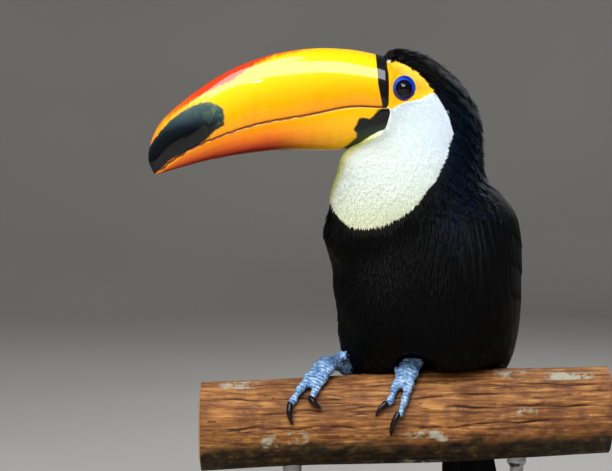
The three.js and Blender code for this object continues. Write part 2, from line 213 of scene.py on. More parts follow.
def wrapGrid(name, along, around, shape, notes=None):
    # a flat grid rolled up: shape turns its (0..1, 0..1) places into points, and notes into attributes
    clearSelection()
    bpy.ops.mesh.primitive_grid_add(x_subdivisions=along, y_subdivisions=around, size=1)
    piece = bpy.context.object
    piece.name = piece.data.name = name
    flat = readPoints(piece) * mm + 0.5
    writePoints(piece, shape(flat[:, 0], flat[:, 1]))
    for key, values in (notes(flat[:, 0], flat[:, 1]) if notes else {}).items():
        store(piece, key, values)
    bpy.ops.object.mode_set(mode="EDIT")
    bpy.ops.mesh.select_all(action="SELECT")
    bpy.ops.mesh.remove_doubles(threshold=4e-6)
    bpy.ops.mesh.select_all(action="SELECT")
    bpy.ops.mesh.fill_holes(sides=0)
    bpy.ops.mesh.select_all(action="SELECT")
    bpy.ops.mesh.normals_make_consistent(inside=False)
    bpy.ops.object.mode_set(mode="OBJECT")
    bpy.ops.object.shade_smooth()
    return piece


def newMaterial(name):
    material = bpy.data.materials.new(name)
    material.use_nodes = True
    return material, material.node_tree, material.node_tree.nodes["Principled BSDF"]


def addNode(tree, kind, settings=None, links=None):
    node = tree.nodes.new("ShaderNode" + kind)
    for key, value in (settings or {}).items():
        if key == "ramp":
            stops = node.color_ramp.elements
            while len(stops) < len(value):
                stops.new(0.5)
            for stop, (place, tint) in zip(stops, value):
                stop.position = place
                stop.color = hexColor(tint)
        elif isinstance(key, int) or key in node.inputs:
            node.inputs[key].default_value = hexColor(value) if isinstance(value, str) else value
        else:
            setattr(node, key, value)
    for key, socket in (links or {}).items():
        tree.links.new(socket, node.inputs[key])
    return node


def smoothCurve(points, samples=60):
    # the centripetal curve that the solids use
    p = np.array(points, float)
    p = np.vstack([2 * p[0] - p[1], p, 2 * p[-1] - p[-2]])
    t = np.linspace(0, 1, samples, endpoint=False)[:, None]
    parts = []
    for a, b, c, d in zip(p, p[1:], p[2:], p[3:]):
        before, here, after = (np.linalg.norm(v) ** 0.5 for v in (b - a, c - b, d - c))
        leave = ((b - a) / before - (c - a) / (before + here) + (c - b) / here) * here
        arrive = ((c - b) / here - (d - b) / (here + after) + (d - c) / after) * here
        parts.append(b * (2 * t**3 - 3 * t**2 + 1) + leave * (t**3 - 2 * t**2 + t)
                     + c * (3 * t**2 - 2 * t**3) + arrive * (t**3 - t**2))
    return np.vstack(parts + [p[-2:-1]])


def curvePoint(curve, share):
    lengths = np.concatenate([[0], np.cumsum(np.linalg.norm(np.diff(curve, axis=0), axis=1))])
    at = np.asarray(share) * lengths[-1]
    return np.stack([np.interp(at, lengths, curve[:, k]) for k in range(curve.shape[1])], -1)


def insideOutline(outline, x, up):
    # signed distance to a closed outline of (x, up) corners, negative inside
    corners = np.array(outline, float)
    best = np.full(x.shape, 1e9)
    inside = np.zeros(x.shape, bool)
    for a, b in zip(corners, np.roll(corners, -1, axis=0)):
        edge = b - a
        share = np.clip(((x - a[0]) * edge[0] + (up - a[1]) * edge[1]) / edge.dot(edge), 0, 1)
        best = np.minimum(best, np.hypot(x - a[0] - share * edge[0], up - a[1] - share * edge[1]))
        if a[1] != b[1]:
            crosses = (a[1] > up) != (b[1] > up)
            inside ^= crosses & (x < a[0] + (up - a[1]) * edge[0] / edge[1])
    return np.where(inside, -best, best)


# ---- places that the solids share ----

crestZ = 214.3                            # top of the branch under the bird
headY = -10.0                             # plane of the bill and of the head's middle
forward = np.array([-math.sin(math.radians(35)), -math.cos(math.radians(35)), 0.0])
leftward = np.array([math.cos(math.radians(35)), -math.sin(math.radians(35)), 0.0])

branchSize = {"length": 320, "radius": 34.3, "axisZ": 180, "slope": 2.4, "lump": 0.02}

headRows = np.array([  # up, front, back, half-width
    [251, -11, -1, 3], [249, -18, 11, 11], [245, -22, 20, 17.5], [239, -21, 29, 23], [230, -21, 40, 27.5],
    [219, -22, 50, 30], [208, -22, 56, 31], [196, -21.5, 60, 32], [185.6, -23, 59.5, 33.5],
    [177.8, -36, 60, 35], [169, -45, 61, 38.5], [158, -52, 61.5, 43], [146, -58, 63, 47],
    [134, -61, 62, 48], [120, -64, 58, 45], [104, -64, 50, 38], [92, -60, 38, 30], [80, -51, 20, 18],
    [72, -38, 4, 8]], float)[::-1]

trunkRows = np.array([  # up, reach of the breast, reach of the back, half-width
    [164, 14, -20, 16], [158, 30, -30, 33], [148, 43, -41, 51], [132, 55, -51, 66], [110, 64, -57, 73],
    [86, 70, -61, 72], [62, 70, -63, 71], [38, 64, -64, 69], [20, 54, -66, 64], [6, 43, -68, 59],
    [-6, 14, -69, 50], [-22, -22, -68, 37], [-40, -42, -67, 28], [-56, -52, -67, 21]], float)[::-1]

wingRows = np.array([  # up, front edge, rear edge in degrees round the body from the breast
    [152, 76, 128], [144, 58, 140], [124, 47, 152], [98, 50, 162], [74, 59, 167], [50, 71, 170],
    [26, 88, 172], [4, 110, 173], [-18, 130, 174], [-38, 144, 174], [-56, 154, 173]], float)[::-1]


def branchAxis(x):
    return branchSize["axisZ"] + x * math.tan(math.radians(branchSize["slope"]))


def branchRadius(x, angle):
    waves = np.sin(x / 37 + 0.7) + 0.7 * np.cos(2 * angle + x / 60) + 0.5 * np.cos(3 * angle - x / 45)
    return branchSize["radius"] * (1 + branchSize["lump"] * (waves - 0.9 * math.sin(0.7)))


def onBranch(x, angle, lift=0.0):
    # angle counts from the crest towards the viewer
    reach = branchRadius(x, angle) + lift
    return np.stack([x + 0 * reach, -reach * np.sin(angle), branchAxis(x) + reach * np.cos(angle)], -1)


def keepOffBranch(points, gap=0.4):
    x, y, z = points.T
    angle = np.arctan2(-y, z - branchAxis(x))
    reach = np.hypot(y, z - branchAxis(x))
    wanted = branchRadius(x, angle) + gap
    low = (reach < wanted) & (np.abs(x) < branchSize["length"] / 2)
    moved = points.copy()
    moved[low] = onBranch(x[low], angle[low], gap)
    return moved


def bodyPoint(ahead, left, up):
    middle = np.array([16.0, 13.0, crestZ])
    return middle + np.multiply.outer(ahead, forward) + np.multiply.outer(left, leftward) \
        + np.multiply.outer(up, np.array([0, 0, 1.0]))


def bodyPlace(points):
    away = points - np.array([16.0, 13.0, crestZ])
    return away @ forward, away @ leftward, away[..., 2]


def flankPoint(up, degrees, out, side):
    front, back, half = (np.interp(up, trunkRows[:, 0], trunkRows[:, k]) for k in (1, 2, 3))
    turn = np.radians(degrees)
    reach = (front - back) / 2 + out
    return bodyPoint((front + back) / 2 + reach * np.cos(turn), side * (half + out) * np.sin(turn), up)


legs = {  # foot's x on the branch; toes: start x, end x, claw x, start and end degrees round the branch
    "left": (7, {"outer_front": (3.8, -14, -5, 16, 82), "inner_front": (-5, -23.5, -7, 14, 68),
                 "outer_rear": (4.4, 14, 2, -22, -72), "inner_rear": (-4.4, -7, -1, -22, -60)}),
    "right": (-61, {"outer_front": (-5, -28.5, 2, 10, 64), "inner_front": (3.6, -12.5, 8, 18, 57),
                    "outer_rear": (-4.4, -13, -2, -22, -68), "inner_rear": (5.5, 24, 3, -12, -42)}),
}
digits = [(side, name) for side in legs for name in legs[side][1]]
eyes = {side: np.array([-2.4, headY - sign * 21.6, crestZ + 221.3]) for side, sign in (("left", 1), ("right", -1))}


def toePath(side, name, samples=40):
    footX, toes = legs[side]
    startX, endX, clawX, start, end = toes[name]
    t = np.linspace(0, 1, samples)
    return onBranch(footX + blend(startX, endX, t**0.9), np.radians(blend(start * 0.55, end, t)),
                    blend(3.7, 2.6, t) + 0.3 + 5 * (1 - t) ** 2.5)


# ---- markings: one rule that the skin and every feather read ----

faceOutline = [(-15.8, 241.8), (-9, 241.8), (-2.8, 239.9), (3.3, 237), (10.5, 230.5), (18.7, 222.3), (21.7, 218.4),
               (16.4, 216.5), (8.7, 212.7), (-2, 210.5), (-8.2, 207.5), (-12, 205), (-14.7, 206.5), (-17, 220)]

bibRows = np.array([  # up, middle of the bib and half its spread, in degrees from the bill's side
    [114.2, 50, 0], [114.7, 51, 9], [116.2, 52.5, 17], [120.2, 53.5, 25.5], [124.5, 54, 33], [129, 54.5, 39.5],
    [134, 51.5, 47.5], [142, 43, 61], [152, 30, 83], [163, 15, 104], [170, 9, 114], [182, 0.5, 120], [197, 0, 117],
    [209, 0, 114], [221.5, 0, 104], [224, 0, 100]], float)

plumage = {
    "black": "#030304", "napeSheen": "#041422", "bib": "#e4eee5", "bibRim": "#d2cf3c", "bibShadedFoot": "#eaedc0",
    "bibLitTop": "#e2eff7", "rump": "#f1f0ea", "vent": "#a3120d", "face": "#f8b000", "faceEdge": "#ffc400",
    "foot": "#6c97c6", "ringTop": "#0a58da", "ringShadedFoot": "#4a3f63", "ringInner": "#0a1030",
}


def tint(name):
    return np.array(hexColor(plumage[name])[:3])


def bibReach(points):
    # degrees inside (negative) or outside the bib, and the angle from its middle
    up = points[:, 2] - crestZ
    middleX = (np.interp(up, headRows[:, 0], headRows[:, 1]) + np.interp(up, headRows[:, 0], headRows[:, 2])) / 2
    turn = np.degrees(np.arctan2(headY - points[:, 1], middleX - points[:, 0]))
    middle = np.interp(up, bibRows[:, 0], bibRows[:, 1])
    half = np.interp(up, bibRows[:, 0], bibRows[:, 2])
    half = np.where((up < bibRows[0, 0]) | (up > bibRows[-1, 0]), -8, half)
    return np.abs((turn - middle + 180) % 360 - 180) - half, turn - middle, turn


def markings(points, withFace=True):
    # kind: 0 black, 1 bare face, 2 bib, 4 rump, 5 vent; colour: linear red, green, blue
    x, y, z = points.T
    up = z - crestZ
    ahead, left, _ = bodyPlace(points)
    colour = np.tile(tint("black"), (len(points), 1))
    # painted sheen: a blue tint blended into the black over the nape and neck stands in for the gloss's blue
    # reflection
    napeSheen = fade(up, 100, 140) * fade(x, 8, 40) * (1 - 0.7 * fade(up, 205, 240))
    colour = blend(colour, tint("napeSheen"), napeSheen[:, None])
    kind = np.zeros(len(points), int)
    inBib, turn, fromBill = bibReach(points)
    bib = inBib < 0
    # painted highlight: a small white fleck in the bib's colour at the face's top front corner
    spot = (np.hypot((x + 12.8) / 2.2, (up - 241.6) / 1.3) < 1) & (np.abs(y - headY) > 8)
    # painted light: the white turns bluish towards the lit top and cream towards the foot, where the bib rounds under
    # into shade
    white = blend(tint("bib"), tint("bibLitTop"), fade(up + 0.5 * turn, 190, 250)[:, None])
    white = blend(white, tint("bibShadedFoot"), (0.75 * fade(up, 160, 118))[:, None])
    rim = fade(np.abs(fromBill), blend(12, 24, fade(up, 135, 170)), 5) * fade(up, 205, 185) * fade(up, 112, 125)
    white = blend(white, tint("bibRim"), (0.85 * rim)[:, None])     # a yellow line down the throat
    colour[bib | spot] = white[bib | spot]
    kind[bib | spot] = 2
    rump = (up < 22) & (up > -30) & (ahead < -46) & (np.abs(left) < 10)
    vent = (up < -7) & (ahead > -52) & (ahead < -8) & (np.abs(left) < 32)
    kind[rump & ~bib] = 4
    colour[kind == 4] = tint("rump")
    kind[vent & ~bib] = 5
    colour[kind == 5] = tint("vent")
    edge = insideOutline(faceOutline, x, up)
    face = (edge < 0) & (np.abs(y - headY) > 9) & withFace
    colour[face] = blend(tint("faceEdge"), tint("face"), fade(-edge[face], 0, 6)[:, None])
    kind[face] = 1
    return kind, colour


# ---- skin ----

skinLook = {"voxel": 1.7, "bodyRounds": 100, "headRounds": 38, "footRounds": 2, "bodyCoat": 2.4, "headCoat": 0.6}
flesh = ["head", "neck", "trunk", "wing_left", "wing_right", "thigh_left", "thigh_right", "shank_left",
         "shank_right"] + [f"toe_{side}_{name}" for side, name in digits]


def smoothPoints(points, edges, rounds):
    # rounds may differ from point to point
    a, b = edges.T
    count = np.bincount(a, minlength=len(points)) + np.bincount(b, minlength=len(points))
    for step in range(int(rounds.max())):
        total = np.stack([np.bincount(a, points[b, k], len(points)) + np.bincount(b, points[a, k], len(points))
                          for k in range(3)], -1)
        share = 0.5 * np.clip(rounds - step, 0, 1)[:, None]
        points = points + (total / np.maximum(count, 1)[:, None] - points) * share
    return points


def readEdges(piece):
    edges = np.empty(len(piece.data.edges) * 2, int)
    piece.data.edges.foreach_get("vertices", edges)
    return edges.reshape(-1, 2)


def refine(piece, wanted):
    # halves the faces whose corners are all wanted
    faces = piece.data.polygons
    makeActive(piece)
    for part in (piece.data.vertices, piece.data.edges, faces):
        part.foreach_set("select", np.zeros(len(part), bool))
    for face in faces:
        face.select = all(wanted[v] for v in face.vertices)
    bpy.context.tool_settings.mesh_select_mode = (False, False, True)
    bpy.ops.object.mode_set(mode="EDIT")
    bpy.ops.mesh.subdivide(number_cuts=1)
    bpy.ops.object.mode_set(mode="OBJECT")


def distanceTo(tree, points):
    return np.array([tree.find_nearest(p)[3] for p in points.tolist()])


def eyeDistance(points):
    # distance from the eyes' axis, which both eyes share in x and z
    near = np.hypot(points[:, 0] - eyes["left"][0], points[:, 2] - eyes["left"][2])
    return near


bellyPads = [((-15, 8, crestZ + 15), (31, 24, 25)), ((-37, 27, crestZ + 8), (17, 15, 15)),
             ((60, 12, crestZ + 15), (20, 18, 19))]   # place, radii
puffs = [  # x, up, reach, push outwards: loose throat, wing's bend, crown, nape, foot of the bib
    (-45, 170, 15, 6.0), (-66, 106, 13, 3.8), (-11, 249, 14, 2.2), (52, 216, 22, -1.4), (-60, 142, 14, 1.6),
    (-62, 52, 12, 2.2), (-60, 78, 10, -1.6)]


webs = []                                   # middles and radii: the sole that joins the two front toes
for side, thick in (("left", 5.5), ("right", 4.9)):
    between = (toePath(side, "outer_front") + toePath(side, "inner_front")) / 2
    webs += [(between[k] + np.array([0, 4.9 - thick, thick - 4.7]), thick - 0.07 * k) for k in range(0, 22, 2)]


def addBlob(spot, radii):
    clearSelection()
    bpy.ops.mesh.primitive_uv_sphere_add(segments=24, ring_count=16, radius=1)
    blob = bpy.context.object
    writePoints(blob, readPoints(blob) * mm * np.array(radii) + np.array(spot))
    return blob


def footShare(points, away):
    # 1 on the bare feet, 0 in the plumage that hides the leg above them
    for spot, reach in webs:
        away = np.minimum(away, np.linalg.norm(points - spot, axis=1) - reach)
    x, up = points[:, 0], points[:, 2] - crestZ
    hem = blend(17.5, 15.0, fade(x, -44, -38))
    return fade(away, 4.0, 1.4) * fade(up, hem, hem - 3)


def makeSkin():
    core = copyOfNodes("skin", *flesh, "eye_left", "eye_right")
    plug = copyOfNodes("plug", "bill_upper", "bill_lower")     # the bill's root, so that the face meets it
    makeActive(plug)
    bpy.ops.object.mode_set(mode="EDIT")
    bpy.ops.mesh.select_all(action="SELECT")
    bpy.ops.mesh.bisect(plane_co=(-0.034, 0, 0), plane_no=(1, 0, 0), clear_inner=True, use_fill=True)
    bpy.ops.object.mode_set(mode="OBJECT")
    writePoints(plug, readPoints(plug) - readNormals(plug) * 1.3)
    extra = [plug] + [addBlob(spot, radii) for spot, radii in bellyPads]
    extra += [addBlob(spot, [reach] * 3) for spot, reach in webs]
    makeActive(core)
    for blob in extra:
        blob.select_set(True)
    bpy.ops.object.join()
    applyModifier(core, "REMESH", mode="VOXEL", voxel_size=skinLook["voxel"] * mm)
    points = readPoints(core)
    footTree = surfaceTree(copyForTest("shank_left", "shank_right", *[n for n in flesh if n.startswith("toe_")]))
    feet = footShare(points, distanceTo(footTree, points))
    head = fade(points[:, 2] - crestZ, 150, 185)
    root = fade(points[:, 0], -9, -15) * fade(points[:, 2] - crestZ, 196, 208)
    rounds = blend(blend(skinLook["bodyRounds"], skinLook["headRounds"], head), skinLook["footRounds"], feet)
    rounds = blend(rounds, 12, root)
    points = smoothPoints(points, readEdges(core), rounds)
    writePoints(core, points)
    refine(core, (feet > 0.5) | ((markings(points)[0] == 1) & (points[:, 0] > -20)) | (eyeDistance(points) < 16)
           & (np.abs(points[:, 1] - headY) > 15))
    points = readPoints(core)
    feet = footShare(points, distanceTo(footTree, points))
    soft = 3 * (eyeDistance(points) < 24) + 1.5 * feet
    points = smoothPoints(points, readEdges(core), soft)
    writePoints(core, points)
    kind, colour = markings(points)
    up = points[:, 2] - crestZ
    bare = fade(insideOutline(faceOutline, points[:, 0], up), 2.5, 0) * (np.abs(points[:, 1] - headY) > 9)
    coat = blend(skinLook["bodyCoat"], skinLook["headCoat"], fade(up, 120, 180))
    coat = coat * (1 - np.maximum(bare, feet)) - 0.8 * feet
    for x, height, reach, push in puffs:
        coat = coat - push * np.exp(-(np.hypot(points[:, 0] - x, up - height) / reach) ** 2) * (1 - bare)
    points = points - readNormals(core) * coat[:, None]
    points = makeRoomForKnuckles(points, feet)
    points = blend(keepOffBranch(points, 1.2), points, fade(feet, 0, 0.3)[:, None])
    points, arc, top = carveToes(points, readNormals(core), feet)
    points = openEyes(points)
    writePoints(core, points)
    colour = blend(colour, tint("foot"), feet[:, None])
    kind[feet > 0.5] = 3
    jaw = np.interp(points[:, 0], [-50, -45, -31, -18, -14], [176, 177.5, 184, 191, 194])   # the bill hides what is above
    kind[(points[:, 0] < -13.5) & (up > jaw) & (kind != 1)] = 6
    store(core, "skinColor", colour)
    store(core, "toePlace", np.stack([arc, top, feet], -1))
    return core, kind


def makeRoomForKnuckles(points, feet):
    # the belly parts in front of the left foot's knuckles
    away = np.hypot((points[:, 0] - 7) / 15, (points[:, 2] - crestZ - 8) / 12)
    push = fade(away, 1.15, 0.6) * (1 - feet) * fade(points[:, 1], 6, -4)
    points[:, 1] += 15 * push
    return points


def copyForTest(*nodes):
    piece = copyOfNodes("test", *nodes)
    throwaway.append(piece)
    return piece


throwaway = []


def carveToes(points, normals, feet):
    # raised plates across the top of each toe, 2.7 mm apart, over its knuckles
    paths = np.stack([toePath(side, name) for side, name in digits])
    steps = np.concatenate([np.zeros((len(paths), 1)),
                            np.cumsum(np.linalg.norm(np.diff(paths, axis=1), axis=2), axis=1)], 1)
    arc, share, top = np.zeros((3, len(points)))                  # share: how far towards the claw
    index = np.nonzero(feet > 0.02)[0]
    flat = paths.reshape(-1, 3)
    for block in np.array_split(index, max(1, len(index) // 3000)):
        away = points[block][:, None] - flat[None]
        nearest = np.argmin((away**2).sum(-1), 1)
        arc[block] = steps.reshape(-1)[nearest]
        share[block] = (nearest % paths.shape[1]) / paths.shape[1]
        spoke = unit(points[block] - flat[nearest])
        radial = flat[nearest].copy()
        radial[:, 0] = 0
        radial[:, 2] -= branchAxis(flat[nearest][:, 0])
        top[block] = fade((spoke * unit(radial)).sum(-1), -0.1, 0.6)
    plate = np.abs(np.sin(math.pi * arc / 2.7)) ** 0.6
    knuckle = 0.45 * np.cos(2 * math.pi * (arc - 3) / 13) - 0.35 * fade(share, 0.35, 0.95)
    points = points + normals * ((0.3 * (plate - 0.6) * top + knuckle) * feet)[:, None]
    return points, arc, top


eyeLook = {"radius": 7.6, "opening": 5.95, "ringAcross": 8.0, "ringUp": 9.3, "swell": 1.4}


def openEyes(points):
    # sinks the skin behind the eyeball
    for side, middle in eyes.items():
        sign = -1 if side == "left" else 1
        away = np.hypot((points[:, 0] - middle[0]) / eyeLook["ringAcross"],
                        (points[:, 2] - middle[2]) / eyeLook["ringUp"])
        height = (points[:, 1] - middle[1]) * sign
        sunk = np.minimum(height, 1.5)
        near = (height > 0) * fade(away, 1.0, 0.88)
        points[:, 1] = middle[1] + sign * blend(height, np.where(height > 0, sunk, height), near)
    return points


def makeLid(side, skinTree):
    middle = eyes[side]
    sign = -1 if side == "left" else 1

    def skinHeight(x, z):
        heights = []
        for px, pz in zip(x.tolist(), z.tolist()):
            hit = skinTree.ray_cast((px, middle[1] + sign * 40, pz), (0, -sign, 0))[0]
            heights.append((hit[1] - middle[1]) * sign if hit else 4.0)
        return np.array(heights)

    def shape(u, v):
        turn = u * 2 * math.pi
        loop = v * 2                              # 0..1 over the top, 1..2 back underneath
        s = np.where(loop <= 1, loop, 2 - loop)
        outer = 1 / np.sqrt((np.cos(turn) / eyeLook["ringAcross"]) ** 2 + (np.sin(turn) / eyeLook["ringUp"]) ** 2)
        slant = 0.25 * np.cos(turn - 2.6)         # the opening is a little off round
        inner = eyeLook["opening"] + slant
        away = blend(inner, outer + 0.7, s)
        away = np.where(loop > 1, np.maximum(away, inner + 0.25), away)
        x = middle[0] + away * np.cos(turn)
        z = middle[2] + away * np.sin(turn)
        ball = np.sqrt(np.maximum(eyeLook["radius"] ** 2 - np.minimum(away, 7.4) ** 2, 0))
        rest = skinHeight(x, z) - 0.5 * fade(s, 0.6, 1) + 0.2
        lift = blend(ball + 0.25, rest, fade(s, 0.0, 0.75))
        swell = eyeLook["swell"] * np.sin(math.pi * np.clip(s, 0, 1) ** 0.62) ** 0.8
        folds = 0.13 * np.sin(s * 17 + 0.8 * np.sin(3 * turn)) + 0.07 * np.sin(turn * 41 + 5 * s)
        brow = 0.35 * np.clip(np.sin(turn), 0, 1) * fade(s, 0.1, 0.35) * fade(s, 0.9, 0.6)
        lift = lift + swell + brow + folds * fade(s, 0.02, 0.2) * fade(s, 1, 0.75)
        lift = np.where(loop > 1, lift - 1.6 * np.sin(math.pi * s) - 0.4, lift)
        return np.stack([x, middle[1] + sign * lift, z], -1)

    def notes(u, v):
        turn = u * 2 * math.pi
        loop = v * 2
        s = np.where(loop <= 1, loop, 2 - loop)
        # painted shade: the ring goes from bright blue on top to purple-grey underneath
        colour = blend(tint("ringShadedFoot"), tint("ringTop"), fade(np.sin(turn), -0.75, 0.15)[:, None])
        colour = blend(tint("ringInner"), colour, fade(s, 0.02, 0.22)[:, None])
        # painted shadow: the ring's outer edge is darkened, most on top, under the brow
        colour = colour * (1 - (0.35 + 0.4 * fade(np.sin(turn), -0.4, 0.6)) * fade(s, 0.78, 1.0))[:, None]
        return {"skinColor": colour, "toePlace": np.zeros((len(u), 3))}

    return wrapGrid("lid", 96, 40, shape, notes)


def bareSkinMaterial():
    # bare skin, living: a soft low gloss, fine grain on the face and plates on the toes
    material, tree, shader = newMaterial("bare_bird_skin")
    place = addNode(tree, "TexCoord")
    colour = addNode(tree, "Attribute", {"attribute_name": "skinColor"})
    toes = addNode(tree, "Attribute", {"attribute_name": "toePlace"})
    parts = addNode(tree, "SeparateXYZ", links={"Vector": toes.outputs["Vector"]})
    grain = addNode(tree, "TexVoronoi", {"Scale": 1150.0, "feature": "DISTANCE_TO_EDGE"},
                    {"Vector": place.outputs["Object"]})   # papillae 0.9 mm across
    patch = addNode(tree, "TexNoise", {"Scale": 190.0, "Detail": 4.0, "Roughness": 0.65},
                    {"Vector": place.outputs["Object"]})
    shade = addNode(tree, "ValToRGB", {"ramp": [(0.3, "#b9b9b9"), (0.7, "#ffffff")]}, {"Fac": patch.outputs["Fac"]})
    mottled = addNode(tree, "Mix", {"data_type": "RGBA", "blend_type": "MULTIPLY", 0: 0.55},
                      {6: colour.outputs["Color"], 7: shade.outputs["Color"]})
    # grooves between the plates of the toes, drawn in painted shade: the sine of their place along the toe
    along = addNode(tree, "Math", {"operation": "MULTIPLY", 1: math.pi / 2.7}, {0: parts.outputs["X"]})
    wave = addNode(tree, "Math", {"operation": "SINE"}, {0: along.outputs[0]})
    ridge = addNode(tree, "Math", {"operation": "ABSOLUTE"}, {0: wave.outputs[0]})
    groove = addNode(tree, "MapRange", {"From Min": 0.0, "From Max": 0.38, "To Min": 1.0, "To Max": 0.0},
                     {"Value": ridge.outputs[0]})
    onTop = addNode(tree, "Math", {"operation": "MULTIPLY"}, {0: groove.outputs[0], 1: parts.outputs["Y"]})
    grooveShade = addNode(tree, "Math", {"operation": "MULTIPLY"}, {0: onTop.outputs[0], 1: parts.outputs["Z"]})
    # painted shade: the creases of a net of small scales on the toes' sides
    scale = addNode(tree, "TexVoronoi", {"Scale": 620.0, "feature": "DISTANCE_TO_EDGE"},
                    {"Vector": place.outputs["Object"]})   # net of small scales, 1.6 mm across
    net = addNode(tree, "MapRange", {"From Max": 0.16, "To Min": 1.0, "To Max": 0.0}, {"Value": scale.outputs[0]})
    offTop = addNode(tree, "Math", {"operation": "SUBTRACT", 0: 1.0}, {1: parts.outputs["Y"]})
    sideNet = addNode(tree, "Math", {"operation": "MULTIPLY"}, {0: net.outputs[0], 1: offTop.outputs[0]})
    scaleCreaseShade = addNode(tree, "Math", {"operation": "MULTIPLY"}, {0: sideNet.outputs[0], 1: parts.outputs["Z"]})
    lines = addNode(tree, "Math", {"operation": "MAXIMUM"}, {0: grooveShade.outputs[0], 1: scaleCreaseShade.outputs[0]})
    # painted highlights and shade: a noise mottle from dark blue to near-white over the feet stands in for glints and
    # shade on the scaled skin
    glintAndShadeNoise = addNode(tree, "TexNoise", {"Scale": 300.0, "Detail": 4.0, "Roughness": 0.6}, {"Vector": place.outputs["Object"]})
    paintedGlintsAndShade = addNode(tree, "ValToRGB", {"ramp": [(0.36, "#3a648f"), (0.49, "#7ea5ca"), (0.62, "#d3e0eb")]}, {"Fac": glintAndShadeNoise.outputs["Fac"]})
    footMix = addNode(tree, "Math", {"operation": "MULTIPLY", 1: 0.62}, {0: parts.outputs["Z"]})
    glintedAndShaded = addNode(tree, "Mix", {"data_type": "RGBA"},
                      {0: footMix.outputs[0], 6: mottled.outputs[2], 7: paintedGlintsAndShade.outputs["Color"]})
    # painted shade: grooves and creases drawn dark blue
    creaseShadeShare = addNode(tree, "Math", {"operation": "MULTIPLY", 1: 0.6}, {0: lines.outputs[0]})
    final = addNode(tree, "Mix", {"data_type": "RGBA", 7: "#24466c"},
                    {0: creaseShadeShare.outputs[0], 6: glintedAndShaded.outputs[2]})
    tree.links.new(final.outputs[2], shader.inputs["Base Color"])
    bumpGrain = addNode(tree, "Bump", {"Strength": 0.35, "Distance": 0.0003}, {"Height": grain.outputs[0]})
    bumpLines = addNode(tree, "Bump", {"Strength": 0.9, "Distance": 0.0007, "invert": True},
                        {"Height": lines.outputs[0], "Normal": bumpGrain.outputs[0]})
    tree.links.new(bumpLines.outputs[0], shader.inputs["Normal"])
    shader.inputs["Roughness"].default_value = 0.42
    shader.inputs["IOR"].default_value = 1.42
    return material


# ---- feathers ----

def flowAt(points):
    # the way the feathers lie: back from the bill, down the neck, then under the belly to the tail
    x, _, z = points.T
    up = z - crestZ
    ahead, left, _ = bodyPlace(points)
    turn = np.radians(90) * np.maximum(fade(x, -18, 46), 0.93 * fade(up, 218, 186))
    flow = np.stack([np.cos(turn), 0 * turn, -np.sin(turn)], -1)
    rear = fade(up, 62, -8) * 1.1 * fade(ahead, -62, -30) + 0.22 * fade(np.abs(left), 40, 60) * fade(up, 170, 130)
    return flow - forward * rear[:, None]


def scatter(points, faces, wanted, spacing):
    # roots spread evenly over the wanted faces, one for each small cell of the surface
    corners = points[faces]
    normals = np.cross(corners[:, 1] - corners[:, 0], corners[:, 2] - corners[:, 0])
    area = np.linalg.norm(normals, axis=1) / 2
    area = np.where(wanted, area, 0)
    total = int(area.sum() / spacing**2 * 7)
    pick = chance.choice(len(faces), total, p=area / area.sum())
    a, b = chance.random((2, total))
    flip = a + b > 1
    a[flip], b[flip] = 1 - a[flip], 1 - b[flip]
    spots = corners[pick, 0] + (corners[pick, 1] - corners[pick, 0]) * a[:, None] \
        + (corners[pick, 2] - corners[pick, 0]) * b[:, None]
    cell = np.floor(spots / spacing).astype(int)
    off = np.linalg.norm(spots / spacing - cell - 0.5, axis=1)
    order = np.argsort(off)
    _, first = np.unique(cell[order], axis=0, return_index=True)
    keep = order[first]
    return spots[keep], unit(normals[pick[keep]])


def unwrapPlace(points):
    # the skin unrolled round its own middle line: turn across, height upwards
    up = points[..., 2] - crestZ
    middleY = blend(13.0, headY, fade(up, 120, 180))
    turn = np.arctan2(points[..., 1] - middleY, points[..., 0] - 17)
    return np.stack([0.01 + 0.98 * (turn / (2 * math.pi) + 0.5), 0.01 + 0.98 * (up + 210) / 470], -1)


def joinVanes(name, grid, colours, across, along):
    # grid: feathers x stations x points across; one joined mesh of quads
    count, stations, wide = grid.shape[:3]
    index = np.arange(count * stations * wide).reshape(count, stations, wide)
    quads = np.stack([index[:, :-1, :-1], index[:, :-1, 1:], index[:, 1:, 1:], index[:, 1:, :-1]], -1).reshape(-1, 4)
    mesh = bpy.data.meshes.new(name)
    mesh.vertices.add(index.size)
    mesh.vertices.foreach_set("co", (grid.reshape(-1, 3) * mm).ravel())
    mesh.loops.add(quads.size)
    mesh.loops.foreach_set("vertex_index", quads.ravel())
    mesh.polygons.add(len(quads))
    mesh.polygons.foreach_set("loop_start", np.arange(0, quads.size, 4))
    mesh.update(calc_edges=True)
    mesh.validate()
    piece = bpy.data.objects.new(name, mesh)
    bpy.context.scene.collection.objects.link(piece)
    store(piece, "coatColor", colours.reshape(-1, 3))
    store(piece, "vane", np.stack([across, along, 0 * along], -1).reshape(-1, 3))
    root = unwrapPlace(grid[:, 0].mean(1))
    patch = root[:, None, None, :] + 0.003 * np.stack([
        np.linspace(-0.5, 0.5, wide)[None, None, :] + np.zeros((count, stations, 1)),
        np.linspace(-0.5, 0.5, stations)[None, :, None] + np.zeros((count, 1, wide))], -1)
    uv = mesh.uv_layers.new(name="OFBake")
    uv.data.foreach_set("uv", np.clip(patch, 0, 1).reshape(-1, 2)[quads.ravel()].ravel())
    mesh.polygons.foreach_set("use_smooth", np.ones(len(quads), bool))
    return piece


